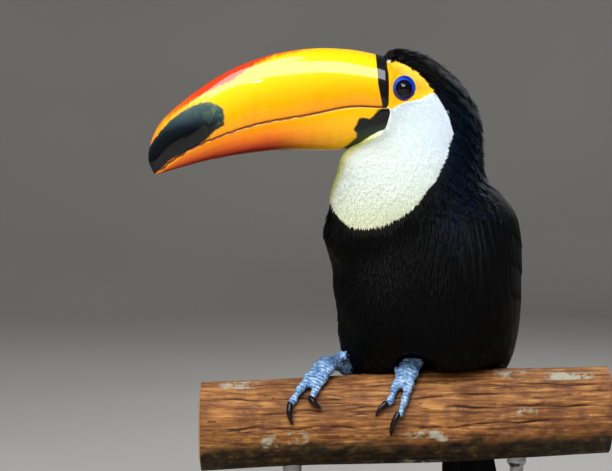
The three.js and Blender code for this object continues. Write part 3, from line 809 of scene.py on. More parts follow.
def growCoat(name, skin, wanted, look):
    # thin vanes rooted in the skin, each bent along it by steps that stay on its surface
    points, faces, tree = skin
    roots, normals = scatter(points, faces, wanted, look["spacing"])
    count, steps = len(roots), look["steps"]
    size = look.get("size", lambda p: np.ones(len(p)))(roots) * chance.uniform(0.85, 1.15, count)
    length = look["length"] * size
    width = look["width"] * size
    spin = chance.normal(0, look.get("stray", 0.12), count)
    if look.get("own") == "black":
        spin *= fade(bibReach(roots)[0], 1, 14)     # dark feathers don't stray over the bib
    stand = chance.uniform(0.55, 1.45, count)
    lumps = np.sin(roots[:, 0] / 2.1 + roots[:, 2] / 4.5) * np.sin(roots[:, 2] / 2.9 - roots[:, 0] / 5.7 + roots[:, 1] / 3.3)
    stand = stand * (1 + look.get("ruffle", 0) * lumps)
    rib, out, side = [], [], []
    here, normal = roots, normals
    for step in range(steps + 1):
        flow = flowAt(here)
        flow = unit(flow - normal * (flow * normal).sum(-1, keepdims=True))
        flank = np.cross(normal, flow)
        flow = flow * np.cos(spin)[:, None] + flank * np.sin(spin)[:, None]
        rib.append(here)
        out.append(normal)
        side.append(np.cross(normal, flow))
        if step < steps:
            ahead = here + flow * (length / steps)[:, None]
            found = [tree.find_nearest(p) for p in ahead.tolist()]
            here = np.array([f[0] for f in found])
            normal = unit(blend(np.array([f[1] for f in found]), normal, 0.35))
    t = np.linspace(0, 1, steps + 1)
    height = look["sunk"] + (look["lift"] * stand)[:, None] * t ** look.get("rise", 1.2) \
        + look.get("curl", 0) * t**4
    rib = np.stack(rib, 1)
    out = np.stack(out, 1)
    side = np.stack(side, 1)
    rib = rib + out * height[..., None]
    spread = np.linspace(-1, 1, look["wide"])
    outline = np.interp(t, *zip(*look["outline"]))
    half = width[:, None] / 2 * outline
    camber = look.get("camber", 0.18)
    grid = rib[:, :, None] + side[:, :, None] * (half[..., None] * spread)[..., None] \
        - out[:, :, None] * (half[..., None] * camber * spread**2)[..., None]
    grid = keepOffBranch(grid.reshape(-1, 3)).reshape(grid.shape)
    kind, colour = markings(roots, False)
    if look.get("own") == "black":                  # roots just over the bib's edge keep their own piece's colour
        colour[kind == 2] = tint("black")
    elif look.get("own") == "bib":
        colour[kind == 0] = tint("bib")
    colour = colour * chance.uniform(*look.get("tone", (0.9, 1.1)), (count, 1))
    shade = np.interp(t, *zip(*look.get("shade", [(0, 0.8), (1, 1)])))
    colours = np.clip(colour[:, None, None] * shade[None, :, None, None], 0, 1) + np.zeros(grid.shape)
    across = half[..., None] * spread
    along = (length[:, None] * t)[..., None] + 0 * across
    print(f"{name}: {count} feathers, {count * steps * (look['wide'] - 1) * 2} triangles")
    return joinVanes(name, grid, colours, across, along)


def layVane(tree, path, width, lift, tilt, colour, side=1, stations=16, wide=7, outline=None):
    # one broad flight feather along a path of places on the body, hugging it
    path = curvePoint(smoothCurve(path), np.linspace(0, 1, stations))
    t = np.linspace(0, 1, stations)
    run = unit(np.gradient(path, axis=0))
    spread = np.linspace(-1, 1, wide)
    outline = outline or [(0, 0.3), (0.12, 0.7), (0.5, 1), (0.86, 0.95), (0.95, 0.72), (1, 0.12)]
    half = width / 2 * np.interp(t, *zip(*outline))
    found = [tree.find_nearest(p) for p in path.tolist()]
    base = np.array([f[0] for f in found])
    out = unit(np.array([f[1] for f in found]))
    flank = unit(np.cross(out, run)) * side
    grid = base[:, None] + flank[:, None] * (half[:, None] * spread)[..., None]
    flat = [tree.find_nearest(p) for p in grid.reshape(-1, 3).tolist()]
    ground = np.array([f[0] for f in flat]).reshape(grid.shape)
    normal = unit(np.array([f[1] for f in flat]).reshape(grid.shape) * 0.5 + out[:, None] * 0.5)
    rib = 0.5 * np.exp(-(spread / 0.12) ** 2)
    height = (lift * np.interp(t, [0, 0.25, 1], [0.2, 0.8, 1.0]))[:, None] + tilt * spread + rib
    grid = ground + normal * height[..., None]
    shade = np.interp(t, [0, 1], [0.9, 1.15])[:, None] * (1 + 0.5 * np.exp(-(spread / 0.14) ** 2))[None]
    colours = np.array(colour)[None, None] * shade[..., None]
    return grid, colours, half[:, None] * spread, (np.linspace(0, 1, stations) * width * 6)[:, None] + 0 * spread


def featherMaterial(name, gloss, level, sheen, barb):
    # feather keratin: barbs across each vane break a low gloss into fine streaks
    material, tree, shader = newMaterial(name)
    colour = addNode(tree, "Attribute", {"attribute_name": "coatColor"})
    vane = addNode(tree, "Attribute", {"attribute_name": "vane"})
    parts = addNode(tree, "SeparateXYZ", links={"Vector": vane.outputs["Vector"]})
    across = addNode(tree, "Math", {"operation": "ABSOLUTE"}, {0: parts.outputs["X"]})
    slant = addNode(tree, "Math", {"operation": "SUBTRACT"}, {0: parts.outputs["Y"], 1: across.outputs[0]})
    turns = addNode(tree, "Math", {"operation": "MULTIPLY", 1: 2 * math.pi / barb}, {0: slant.outputs[0]})
    wave = addNode(tree, "Math", {"operation": "SINE"}, {0: turns.outputs[0]})
    streak = addNode(tree, "MapRange", {"From Min": -1.0, "To Min": 0.72, "To Max": 1.0}, {"Value": wave.outputs[0]})
    toned = addNode(tree, "VectorMath", {"operation": "SCALE"},
                    {0: colour.outputs["Color"], "Scale": streak.outputs[0]})
    tree.links.new(toned.outputs[0], shader.inputs["Base Color"])
    bump = addNode(tree, "Bump", {"Strength": 0.4, "Distance": 0.00025}, {"Height": wave.outputs[0]})
    tree.links.new(bump.outputs[0], shader.inputs["Normal"])
    shader.inputs["Roughness"].default_value = gloss
    shader.inputs["Specular IOR Level"].default_value = level
    shader.inputs["IOR"].default_value = 1.55     # keratin
    shader.inputs["Sheen Weight"].default_value = sheen
    return material


def bibSize(points):
    # short at the bib's rim, so that its edge stays even
    return blend(0.32, 1.0, fade(-bibReach(points)[0], 1, 15))


tuft = [(0, 0.75), (0.35, 1), (0.7, 0.7), (1, 0.08)]
contour = [(0, 0.4), (0.4, 0.95), (0.7, 1), (0.9, 0.72), (1, 0.18)]
coats = {
    "coat_crown": {"spacing": 1.45, "length": 8.5, "width": 2.0, "lift": 1.6, "sunk": -0.2, "steps": 3, "wide": 2,
                   "outline": tuft, "stray": 0.18, "tone": (0.6, 1.4), "camber": 0.5, "own": "black", "ruffle": 0.65,
                   "size": lambda p: blend(0.62, 1.25, fade(p[:, 0], -12, 40))},
    "coat_bib_upper": {"spacing": 0.9, "length": 6.5, "width": 1.0, "lift": 0.7, "sunk": -0.2, "steps": 3,
                       "wide": 2, "outline": tuft, "stray": 0.12, "tone": (0.96, 1.02), "own": "bib",
                       "size": lambda p: bibSize(p) * blend(1.0, 0.62, fade(p[:, 2] - crestZ, 188, 214))
                       * blend(1.0, 0.55, fade(p[:, 2] - crestZ, 228, 236))},
    "coat_bib_lower": {"spacing": 1.05, "length": 8.5, "width": 1.2, "lift": 0.9, "sunk": -0.2, "steps": 3,
                       "wide": 2, "outline": tuft, "stray": 0.12, "tone": (0.96, 1.02), "own": "bib",
                       "size": lambda p: bibSize(p)},
    "coat_neck": {"spacing": 1.7, "length": 11, "width": 2.6, "lift": 1.4, "sunk": -0.2, "steps": 4, "wide": 2,
                  "outline": contour, "stray": 0.14, "tone": (0.6, 1.5), "camber": 0.45, "own": "black",
                  "ruffle": 0.8},
    "coat_breast": {"spacing": 2.5, "length": 15, "width": 4.2, "lift": 1.2, "sunk": -0.2, "steps": 4, "wide": 3,
                    "outline": contour, "stray": 0.13, "tone": (0.6, 1.5), "camber": 0.4,
                    "own": "black"},
    "coat_back": {"spacing": 3.6, "length": 19, "width": 7.0, "lift": 1.4, "sunk": -0.2, "steps": 4, "wide": 3,
                  "outline": contour, "stray": 0.1, "tone": (0.6, 1.5), "camber": 0.35, "own": "black"},
    "coat_thighs": {"spacing": 1.9, "length": 10, "width": 2.8, "lift": 1.0, "sunk": -0.2, "steps": 4, "wide": 2,
                    "outline": contour, "stray": 0.18, "tone": (0.6, 1.5), "camber": 0.4,
                    "own": "black"},
    "coat_rump": {"spacing": 2.6, "length": 22, "width": 4.4, "lift": 2.0, "sunk": -0.2, "steps": 4, "wide": 3,
                  "outline": contour, "stray": 0.14},
    "coat_vent": {"spacing": 2.6, "length": 20, "width": 4.2, "lift": 2.0, "sunk": -0.2, "steps": 4, "wide": 3,
                  "outline": contour, "stray": 0.16},
}


def makeCoats(skin, kind):
    points = readPoints(skin)
    skin.data.calc_loop_triangles()
    faces = np.empty(len(skin.data.loop_triangles) * 3, int)
    skin.data.loop_triangles.foreach_get("vertices", faces)
    faces = faces.reshape(-1, 3)
    tree = BVHTree.FromPolygons(points.tolist(), faces.tolist())
    base = (points, faces, tree)
    middle = points[faces].mean(1)
    kinds, _ = markings(middle)
    tips, _ = markings(middle + flowAt(middle) * (7.5 * bibSize(middle))[:, None])
    whole = (kinds == 2) & (tips == 2)            # white tufts begin far enough inside to end at the bib's rim
    worst = kind[faces]
    bare = ((worst == 3) | (worst == 6)).any(1) | (kinds == 1)
    up = middle[:, 2] - crestZ
    ahead, left, _ = bodyPlace(middle)
    black = (kinds == 0) & ~bare
    onWing = (np.abs(left) > 20) & (ahead < 45) & (up < 150) & (up > -50)
    legSide = (up < 30) & (ahead > -40)
    zones = {
        "coat_crown": black & (up > 178),
        "coat_bib_upper": whole & ~bare & (up > 172),
        "coat_bib_lower": whole & ~bare & (up <= 172),
        "coat_neck": black & (up <= 178) & (up > 128),
        "coat_breast": black & (up <= 128) & (ahead > -5) & ~legSide,
        "coat_back": black & (up <= 128) & (ahead <= -5) & ~legSide,
        "coat_thighs": black & legSide,
        "coat_rump": (kinds == 4) & ~bare,
        "coat_vent": (kinds == 5) & ~bare,
    }
    black = featherMaterial("black_contour_feathers", 0.45, 0.13, 0.0, 1.1)
    pale = featherMaterial("white_downy_feathers", 0.8, 0.15, 0.1, 1.1)
    made = []
    for name, look in coats.items():
        piece = growCoat(name, base, zones[name], look)
        white = name in ("coat_bib_upper", "coat_bib_lower", "coat_rump", "coat_vent")
        piece.data.materials.append(pale if white else black)
        made.append(piece)
    return made, tree, black


flight = {"secondaries": 10, "primaries": 8, "coverts": 17, "colour": (0.0018, 0.0019, 0.0024)}


def wingPlace(tree, up, degrees, side):
    # the outermost point of the flank at a height and a turn round the body
    start = flankPoint(up, degrees, 45.0, side)
    aim = unit(flankPoint(up, degrees, -20.0, side) - start)
    hit = tree.ray_cast(start.tolist(), aim.tolist())[0]
    return np.array(hit) if hit else flankPoint(up, degrees, 5.0, side)


def makeWings(tree, black):
    made = []
    for name, side in (("left", 1), ("right", -1)):
        front = lambda up: np.interp(up, wingRows[:, 0], wingRows[:, 1])
        vanes = []

        def lay(start, bend, end, width, lift, tilt, outline=None):
            path = np.array([wingPlace(tree, *spot, side) for spot in (start, bend, end)])
            vanes.append(layVane(tree, path, width, lift, tilt, flight["colour"], side, outline=outline))

        for k in range(flight["primaries"]):                 # the long stack at the wing's tip
            t = k / (flight["primaries"] - 1)
            lay((40, blend(150, 164, t)), (0, blend(146, 160, t)), (blend(-58, -16, t), blend(152, 166, t)),
                14, blend(1.0, 2.0, t), 0.35)
        for k in range(flight["secondaries"]):               # their tips make the wing's lower edge
            t = k / (flight["secondaries"] - 1)
            tip = blend(56, -34, t**0.9)
            edge = front(tip)
            lay((blend(104, 66, t), blend(66, 148, t)), (blend(80, 16, t), blend(68, 146, t)),
                (tip, blend(edge + 2, 158, t**1.5)), blend(17, 22, t), blend(0.6, 2.6, t), 0.4)
        for row, (top, low, width, lift) in enumerate(((112, 68, 13, 1.5), (132, 92, 11, 1.8), (146, 112, 9.5, 2.0))):
            count = flight["coverts"] + 3 * row
            for k in range(count):                           # three rows over the roots of the flight feathers
                t = k / (count - 1)
                start = blend(front(top) + 6, 150 - 4 * row, t) + chance.normal(0, 0.7)
                end = low - 22 * t + chance.normal(0, 2.2)
                lay((top - 10 * t, start), ((top + low) / 2 - 14 * t, start + 2), (end, start + 6), width,
                    lift * blend(0.4, 1.2, fade(t, 0, 0.4)), 0.3, contour)
        parts = [np.stack(part) for part in zip(*vanes)]
        parts[0] = keepOffBranch(parts[0].reshape(-1, 3)).reshape(parts[0].shape)
        piece = joinVanes(f"wing_feathers_{name}", *parts)
        piece.data.materials.append(black)
        made.append(piece)
    return made


tailLook = {"length": 150, "lean": 9, "feathers": 10, "width": 18.5, "spreadRoot": 9, "spreadTip": 22}


def makeTail(black):
    lean = math.radians(tailLook["lean"])
    down = np.array([0, 0, -math.cos(lean)]) - forward * math.sin(lean)
    rear = unit(-forward + down * forward.dot(down))
    root = bodyPoint(-60.0, 0.0, -22.0)
    stations, wide = 22, 9
    t = np.linspace(0, 1, stations)
    spread = np.linspace(-1, 1, wide)
    vanes = []
    for k in range(tailLook["feathers"]):
        share = 2 * k / (tailLook["feathers"] - 1) - 1
        rank = 1 - abs(share)                               # 0 outermost, 1 in the middle, on top
        length = tailLook["length"] * (0.9 + 0.1 * rank)
        middle = share * blend(tailLook["spreadRoot"], tailLook["spreadTip"], t**0.8)
        half = tailLook["width"] / 2 * np.interp(t, [0, 0.1, 0.5, 0.88, 0.96, 1], [0.4, 0.75, 1, 0.98, 0.72, 0.2])
        away = blend(0.6, 1.9, rank) + 0.2 * np.sign(share) - 0.5
        sideways = middle[:, None] + half[:, None] * spread
        along = (length * t)[:, None] * (1 - 0.015 * spread**2)
        depth = away * (1.3 - 0.6 * t)[:, None] - 0.35 * spread * np.sign(share) - 0.9 * (sideways / 30) ** 2 \
            + 0.35 * np.exp(-(spread / 0.1) ** 2) + 1.5 * (t**2)[:, None]
        grid = root + leftward * sideways[..., None] + down * along[..., None] + rear * depth[..., None]
        shade = (1 + 0.5 * np.exp(-(spread / 0.14) ** 2))[None] * np.interp(t, [0, 1], [0.9, 1.2])[:, None]
        vanes.append((grid, np.array(flight["colour"])[None, None] * shade[..., None], half[:, None] * spread,
                      along + 0 * sideways))
    piece = joinVanes("tail_feathers", *[np.stack(part) for part in zip(*vanes)])
    piece.data.materials.append(black)
    applyModifier(piece, "SOLIDIFY", thickness=0.00025, offset=0)
    return piece


# ---- bill ----

billLook = {"halfWidth": 19.5, "taper": 0.62, "gap": 0.3, "lip": 0.6, "teeth": 1.5}
culmen = smoothCurve([(-14, 246), (-43, 251.6), (-74, 252.3), (-105, 247.3), (-136.5, 235.4), (-168, 215.1),
                      (-191.9, 192.1), (-199.3, 167.7), (-194.7, 154.6)])
mouthLine = smoothCurve([(-14, 206.5), (-43, 207.2), (-75, 201), (-113, 194.2), (-140, 185.8), (-168, 173.6),
                         (-194.4, 155.6)])
billFloor = smoothCurve([(-14, 187.4), (-27, 181), (-50, 174.4), (-97, 173.6), (-144, 167.5), (-175, 160),
                         (-193.2, 154.8)])
tipPatch = [(-199, 176), (-189.9, 188.7), (-182.2, 196.4), (-174.5, 202.6), (-166.8, 207.2), (-159.1, 210.3),
            (-151.3, 211.4), (-145.2, 209.1), (-141.3, 206), (-139.8, 198.7), (-140.5, 192.5), (-146.7, 189.4),
            (-152.5, 183.3), (-159.1, 178.2), (-170.6, 171.7), (-182.2, 166.3), (-188, 161), (-197, 148), (-206, 160)]
rootPatch = [(-21.9, 206), (-25, 201.1), (-28.1, 198.1), (-33.4, 198.8), (-37.3, 198.1), (-38.8, 193.5),
             (-41.1, 189.6), (-38.1, 187.3), (-38.8, 183.5), (-43.4, 179.6), (-50, 174), (-50, 165), (-4, 165),
             (-4, 206)]


def makeMandible(name, topCurve, floorCurve, upper):
    sides, under = 30, 8
    ring = 2 * sides + under

    def trace(u, v):
        # v: the left side from the ridge down, the hidden face across, then the right side up
        t = 1 - (1 - u) ** 1.8
        step = v * ring
        left = step <= sides
        right = step >= sides + under
        k = np.where(left, step / sides, np.where(right, (ring - step) / sides, 1.0))
        crossing = np.clip((step - sides) / under, 0, 1) * 2 - 1       # -1 left edge, 1 right edge
        sense = np.where(left, -1.0, np.where(right, 1.0, crossing))
        depth = (1 - np.cos(k * math.pi * 0.72)) / (1 - math.cos(math.pi * 0.72)) if upper else \
            np.where(left | right, 1 - (1 - k) ** 1.0, 1.0)
        return t, depth, sense, left | right

    def place(u, v):
        t, depth, sense, outside = trace(u, v)
        if not upper:
            depth = 1 - depth            # the lower half is traced from its floor up to the mouth
        top, floor = curvePoint(topCurve, t), curvePoint(floorCurve, t)
        down = unit(floor - top)
        if upper:
            floor = floor - down * billLook["gap"] / 2
        else:
            top = top + down * billLook["gap"] / 2
        height = np.linalg.norm(floor - top, axis=1)
        spot = blend(top, floor, depth[:, None])
        half = billLook["halfWidth"] * np.maximum(1 - t, 0) ** billLook["taper"]
        if upper:
            flank = np.sin(math.pi / 2 * np.minimum(1, depth / 0.62)) ** 0.55 \
                * (1 - 0.1 * np.maximum(0, (depth - 0.62) / 0.38) ** 2)
            fromEdge = (1 - depth) * height
        else:
            flank = 0.9 * np.sqrt(np.maximum(1 - depth**2.2, 0))
            fromEdge = depth * height
        width = half * flank
        lip = billLook["lip"] * np.minimum(1, half / 6)
        tuck = lip * (1 - np.sqrt(np.clip(1 - (1 - fromEdge / np.maximum(lip, 1e-3)) ** 2, 0, 1)))
        width = width - np.where(fromEdge < lip, tuck, 0) * 0.8
        if not upper:                    # the black horn at the root flares over the cheek
            flare = fade(t, 0.075, 0.0) * np.sqrt(np.clip(1 - ((depth - 0.3) / 0.78) ** 2, 0, 1))
            spot[:, 0] += 4.4 * flare
            width = width + 1.7 * flare
        x = spot[:, 0]
        if upper:
            ridge = depth * height
            width = width - 0.35 * np.exp(-((ridge - 7.5) / 2.2) ** 2) * fade(t, 0.04, 0.2) * fade(t, 0.96, 0.8)
            width = width + 0.5 * fade(x, -22.5, -21) * fade(ridge, 0, 4)      # the dark band stands proud
        wear = 0.035 * np.sin(1.35 * depth * height + 0.8 * np.sin(x / 17)) * (0.3 + 0.7 * np.sin(x / 11 + depth) ** 2)
        width = width + wear * fade(fromEdge, 1, 5) * fade(half, 2, 8)
        width = width + 0.18 * np.sin(x / 6.3 + 2 * depth) * fade(depth, 0, 0.3) * fade(depth, 1, 0.7)
        teeth = billLook["teeth"] * (np.sin(x * 0.83) ** 3 + 0.6 * np.sin(x * 0.47 + 1.3)) * fade(x, -50, -85)
        lower = np.where(fromEdge < 2.5, teeth * (1 - fromEdge / 2.5), 0) * np.where(outside, 1, 0)
        middle = np.where(outside, 0, 1 - np.abs(sense))
        shift = lower * 0.6 + middle * (-2.2 if upper else 1.6) * np.minimum(1, half / 8)
        return t, depth, sense, np.maximum(width, 0) * sense, spot - down * 0 + down * shift[:, None], height

    def shape(u, v):
        _, _, _, y, spot, _ = place(u, v)
        return np.stack([spot[:, 0], headY + y, crestZ + spot[:, 1]], -1)

    def notes(u, v):
        t, depth, sense, _, spot, height = place(u, v)
        x, up = spot.T
        band = x - np.interp(up, [200, 209.6, 224, 245.6, 252], [-18.5, -19, -22, -23.5, -23.8])
        patch = insideOutline(tipPatch if upper else rootPatch, x, up)
        return {"billPlace": np.stack([t, depth, depth * height], -1),
                "billMarks": np.stack([patch, band, (1 - depth) * height], -1)}

    return wrapGrid(name, 130, ring, shape, notes)


def billMaterial(name, upper):
    # horn of the bill: a polished sheath over spongy bone, so a clear gloss over soft, clouded colour
    material, tree, shader = newMaterial(name)
    place = addNode(tree, "TexCoord")
    spots = addNode(tree, "SeparateXYZ", links={
        "Vector": addNode(tree, "Attribute", {"attribute_name": "billPlace"}).outputs["Vector"]})
    marks = addNode(tree, "SeparateXYZ", links={
        "Vector": addNode(tree, "Attribute", {"attribute_name": "billMarks"}).outputs["Vector"]})
    cloud = addNode(tree, "TexNoise", {"Scale": 55.0, "Detail": 3.0, "Roughness": 0.6},
                    {"Vector": place.outputs["Object"]})
    fine = addNode(tree, "TexNoise", {"Scale": 260.0, "Detail": 4.0, "Roughness": 0.7},
                   {"Vector": place.outputs["Object"]})
    stretch = addNode(tree, "Mapping", {"Scale": (260, 60, 34)}, {"Vector": place.outputs["Object"]})
    bands = addNode(tree, "TexNoise", {"Scale": 1.0, "Detail": 3.0}, {"Vector": stretch.outputs[0]})  # growth bands
    wander = addNode(tree, "MapRange", {"To Min": -0.09, "To Max": 0.09}, {"Value": cloud.outputs["Fac"]})
    depth = addNode(tree, "Math", {"operation": "ADD"}, {0: spots.outputs["Y"], 1: wander.outputs[0]})
    if upper:
        ramp = [(0.0, "#ffbe00"), (0.18, "#ffcc00"), (0.45, "#fbc000"), (0.68, "#f2ac00"), (1.0, "#e29000")]
    else:
        ramp = [(0.0, "#e69600"), (0.3, "#e08200"), (0.6, "#d06000"), (0.82, "#982f02"), (0.93, "#761702"), (1.0, "#500d02")]
    side = addNode(tree, "ValToRGB", {"ramp": ramp}, {"Fac": depth.outputs[0]})
    colour = side.outputs["Color"]
    if upper:
        # red-orange ridge: wide towards the tip, a thin line near the root
        spread = addNode(tree, "ValToRGB", {"ramp": [(0.22, "#000000"), (0.3, "#8a8a8a"), (0.4, "#a4a4a4"), (0.54, "#ffffff"),
                                                     (0.66, "#e0e0e0"), (0.84, "#8c8c8c")]}, {"Fac": spots.outputs["X"]})
        reach = addNode(tree, "MapRange", {"To Min": -1.5, "To Max": 8.6}, {"Value": spread.outputs["Color"]})
        ragged = addNode(tree, "MapRange", {"To Min": -2.2, "To Max": 2.2}, {"Value": bands.outputs["Fac"]})
        ridge = addNode(tree, "Math", {"operation": "ADD"}, {0: spots.outputs["Z"], 1: ragged.outputs[0]})
        less = addNode(tree, "Math", {"operation": "SUBTRACT"}, {0: reach.outputs[0], 1: ridge.outputs[0]})
        stripe = addNode(tree, "MapRange", {"From Min": -1.6, "From Max": 1.8}, {"Value": less.outputs[0]})
        red = addNode(tree, "ValToRGB", {"ramp": [(0.3, "#d84412"), (0.6, "#cc3c14"), (0.95, "#b8551c")]},
                      {"Fac": spots.outputs["X"]})
        colour = addNode(tree, "Mix", {"data_type": "RGBA"},
                         {0: stripe.outputs[0], 6: colour, 7: red.outputs["Color"]}).outputs[2]
        tipTone = addNode(tree, "MapRange", {"From Min": 0.66, "From Max": 0.86, "To Max": 0.75},
                          {"Value": spots.outputs["X"]})
        colour = addNode(tree, "Mix", {"data_type": "RGBA", 7: "#e8861a"}, {0: tipTone.outputs[0], 6: colour}).outputs[2]
    else:
        rear = addNode(tree, "MapRange", {"From Min": 0.5, "From Max": 0.18, "To Max": 0.92},
                       {"Value": spots.outputs["X"]})
        colour = addNode(tree, "Mix", {"data_type": "RGBA", 7: "#e8b000"}, {0: rear.outputs[0], 6: colour}).outputs[2]
        dusk = addNode(tree, "MapRange", {"From Min": 0.5, "From Max": 0.9, "To Max": 0.42}, {"Value": spots.outputs["X"]})
        colour = addNode(tree, "Mix", {"data_type": "RGBA", 7: "#8c2602"}, {0: dusk.outputs[0], 6: colour}).outputs[2]
        rim = addNode(tree, "MapRange", {"From Min": 2.4, "From Max": 0.6, "To Max": 0.8}, {"Value": spots.outputs["Z"]})
        atTip = addNode(tree, "MapRange", {"From Min": 0.66, "From Max": 0.86}, {"Value": spots.outputs["X"]})
        tipTone = addNode(tree, "Math", {"operation": "MULTIPLY"}, {0: rim.outputs[0], 1: atTip.outputs[0]})
        colour = addNode(tree, "Mix", {"data_type": "RGBA", 7: "#f5a012"}, {0: tipTone.outputs[0], 6: colour}).outputs[2]
    # painted shade: a dark line along the mouth, on the edges where the two halves meet
    mouthShade = addNode(tree, "MapRange", {"From Min": 1.0, "From Max": 0.4, "To Max": 0.85},
                   {"Value": marks.outputs["Z"] if upper else spots.outputs["Z"]})
    colour = addNode(tree, "Mix", {"data_type": "RGBA", 7: "#6e2c04"}, {0: mouthShade.outputs[0], 6: colour}).outputs[2]
    faint = addNode(tree, "ValToRGB", {"ramp": [(0.38, "#c9772e"), (0.6, "#ffffff")]}, {"Fac": bands.outputs["Fac"]})
    low = addNode(tree, "MapRange", {"From Min": 0.35 if upper else 0.0, "From Max": 1.0 if upper else 0.5,
                                     "To Max": 0.1}, {"Value": spots.outputs["Y"]})
    colour = addNode(tree, "Mix", {"data_type": "RGBA", "blend_type": "MULTIPLY"},
                     {0: low.outputs[0], 6: colour, 7: faint.outputs["Color"]}).outputs[2]
    # dark patch with a ragged edge
    ragged = addNode(tree, "MapRange", {"To Min": -1.6, "To Max": 1.6}, {"Value": fine.outputs["Fac"]})
    edge = addNode(tree, "Math", {"operation": "ADD"}, {0: marks.outputs["X"], 1: ragged.outputs[0]})
    patch = addNode(tree, "MapRange", {"From Min": 0.7, "From Max": -0.7}, {"Value": edge.outputs[0]})
    # slate above, blue-black towards the mouth and the point
    ends = [(0.45, "#020508"), (0.8, "#2a3a30")] if not upper else [(0.3, "#4a5f5a"), (0.5, "#33474c"), (0.7, "#0c161f"), (0.85, "#02060c")]
    slant = addNode(tree, "Math", {"operation": "MULTIPLY_ADD", 1: 2.6 if upper else 0.0, 2: -1.72 if upper else 0.0},
                    {0: spots.outputs["X"]})
    place2 = addNode(tree, "Math", {"operation": "MULTIPLY_ADD", 1: 0.9}, {0: depth.outputs[0], 2: slant.outputs[0]})
    dark = addNode(tree, "ValToRGB", {"ramp": ends}, {"Fac": place2.outputs[0]})
    smear = addNode(tree, "TexNoise", {"Scale": 105.0, "Detail": 5.0, "Roughness": 0.68, "Distortion": 0.6},
                    {"Vector": place.outputs["Object"]})
    mottle = addNode(tree, "ValToRGB", {"ramp": [(0.46, "#000000"), (0.72, "#76843a")]}, {"Fac": smear.outputs["Fac"]})
    faded = addNode(tree, "MapRange", {"From Min": 0.74, "From Max": 0.6, "To Max": 0.8 if upper else 0.0},
                    {"Value": spots.outputs["X"]})
    dark = addNode(tree, "Mix", {"data_type": "RGBA", "blend_type": "ADD"},
                   {0: faded.outputs[0], 6: dark.outputs["Color"], 7: mottle.outputs["Color"]})
    colour = addNode(tree, "Mix", {"data_type": "RGBA"},
                     {0: patch.outputs[0], 6: colour, 7: dark.outputs[2]}).outputs[2]
    if upper:
        band = addNode(tree, "MapRange", {"From Min": -0.35, "From Max": 0.35}, {"Value": marks.outputs["Y"]})
        colour = addNode(tree, "Mix", {"data_type": "RGBA", 7: "#090d13"}, {0: band.outputs[0], 6: colour}).outputs[2]
    tree.links.new(colour, shader.inputs["Base Color"])
    ripple = addNode(tree, "Bump", {"Strength": 0.1, "Distance": 0.0006}, {"Height": bands.outputs["Fac"]})
    pits = addNode(tree, "Bump", {"Strength": 0.12, "Distance": 0.0004},
                   {"Height": fine.outputs["Fac"], "Normal": ripple.outputs[0]})
    tree.links.new(pits.outputs[0], shader.inputs["Normal"])
    rough = addNode(tree, "MapRange", {"To Min": 0.2, "To Max": 0.46}, {"Value": fine.outputs["Fac"]})
    tree.links.new(rough.outputs[0], shader.inputs["Roughness"])
    shader.inputs["IOR"].default_value = 1.54
    shader.inputs["Specular IOR Level"].default_value = 0.1
    shader.inputs["Coat Weight"].default_value = 0.95
    shader.inputs["Coat Roughness"].default_value = 0.05
    return material


# ---- eyes and claws ----

def makeEye(side):
    middle, sign = eyes[side], -1 if side == "left" else 1
    clearSelection()
    bpy.ops.mesh.primitive_uv_sphere_add(segments=64, ring_count=40, radius=eyeLook["radius"] * mm)
    eye = bpy.context.object
    eye.name = eye.data.name = f"eyeball_{side}"
    points = readPoints(eye)
    away = np.hypot(points[:, 0], points[:, 1]) / eyeLook["radius"]
    points[:, 2] += 0.55 * fade(away, 0.62, 0.1) * (points[:, 2] > 0)       # the cornea's own bulge
    store(eye, "pupil", away * eyeLook["radius"])
    writePoints(eye, np.stack([points[:, 0], points[:, 2] * sign, points[:, 1] * -sign * -1], -1) + middle)
    bpy.ops.object.mode_set(mode="EDIT")
    bpy.ops.mesh.select_all(action="SELECT")
    bpy.ops.mesh.normals_make_consistent(inside=False)
    bpy.ops.object.mode_set(mode="OBJECT")
    bpy.ops.object.shade_smooth()
    return eye


def eyeMaterial():
    # cornea over a dark iris: wet, so a sharp gloss, with the iris just lighter than the pupil
    material, tree, shader = newMaterial("wet_dark_eye")
    away = addNode(tree, "Attribute", {"attribute_name": "pupil"})
    place = addNode(tree, "TexCoord")
    fleck = addNode(tree, "TexNoise", {"Scale": 900.0, "Detail": 3.0}, {"Vector": place.outputs["Object"]})
    shift = addNode(tree, "MapRange", {"To Min": -0.35, "To Max": 0.35}, {"Value": fleck.outputs["Fac"]})
    edge = addNode(tree, "Math", {"operation": "ADD"}, {0: away.outputs["Fac"], 1: shift.outputs[0]})
    scaled = addNode(tree, "Math", {"operation": "DIVIDE", 1: 8.0}, {0: edge.outputs[0]})
    tone = addNode(tree, "ValToRGB", {"ramp": [(0.0, "#010101"), (0.4, "#020101"), (0.5, "#0d0604"),
                                              (0.66, "#0a0503"), (0.76, "#030202")]}, {"Fac": scaled.outputs[0]})
    tree.links.new(tone.outputs["Color"], shader.inputs["Base Color"])
    shader.inputs["Roughness"].default_value = 0.3
    shader.inputs["IOR"].default_value = 1.376            # cornea
    shader.inputs["Specular IOR Level"].default_value = 0.1
    shader.inputs["Coat Weight"].default_value = 1.0
    shader.inputs["Coat Roughness"].default_value = 0.02
    return material


clawReach = {("right", "inner_front"): 13, ("left", "inner_front"): 15}    # degrees round the branch
clawGirth = {("left", "inner_front"): 0.72}


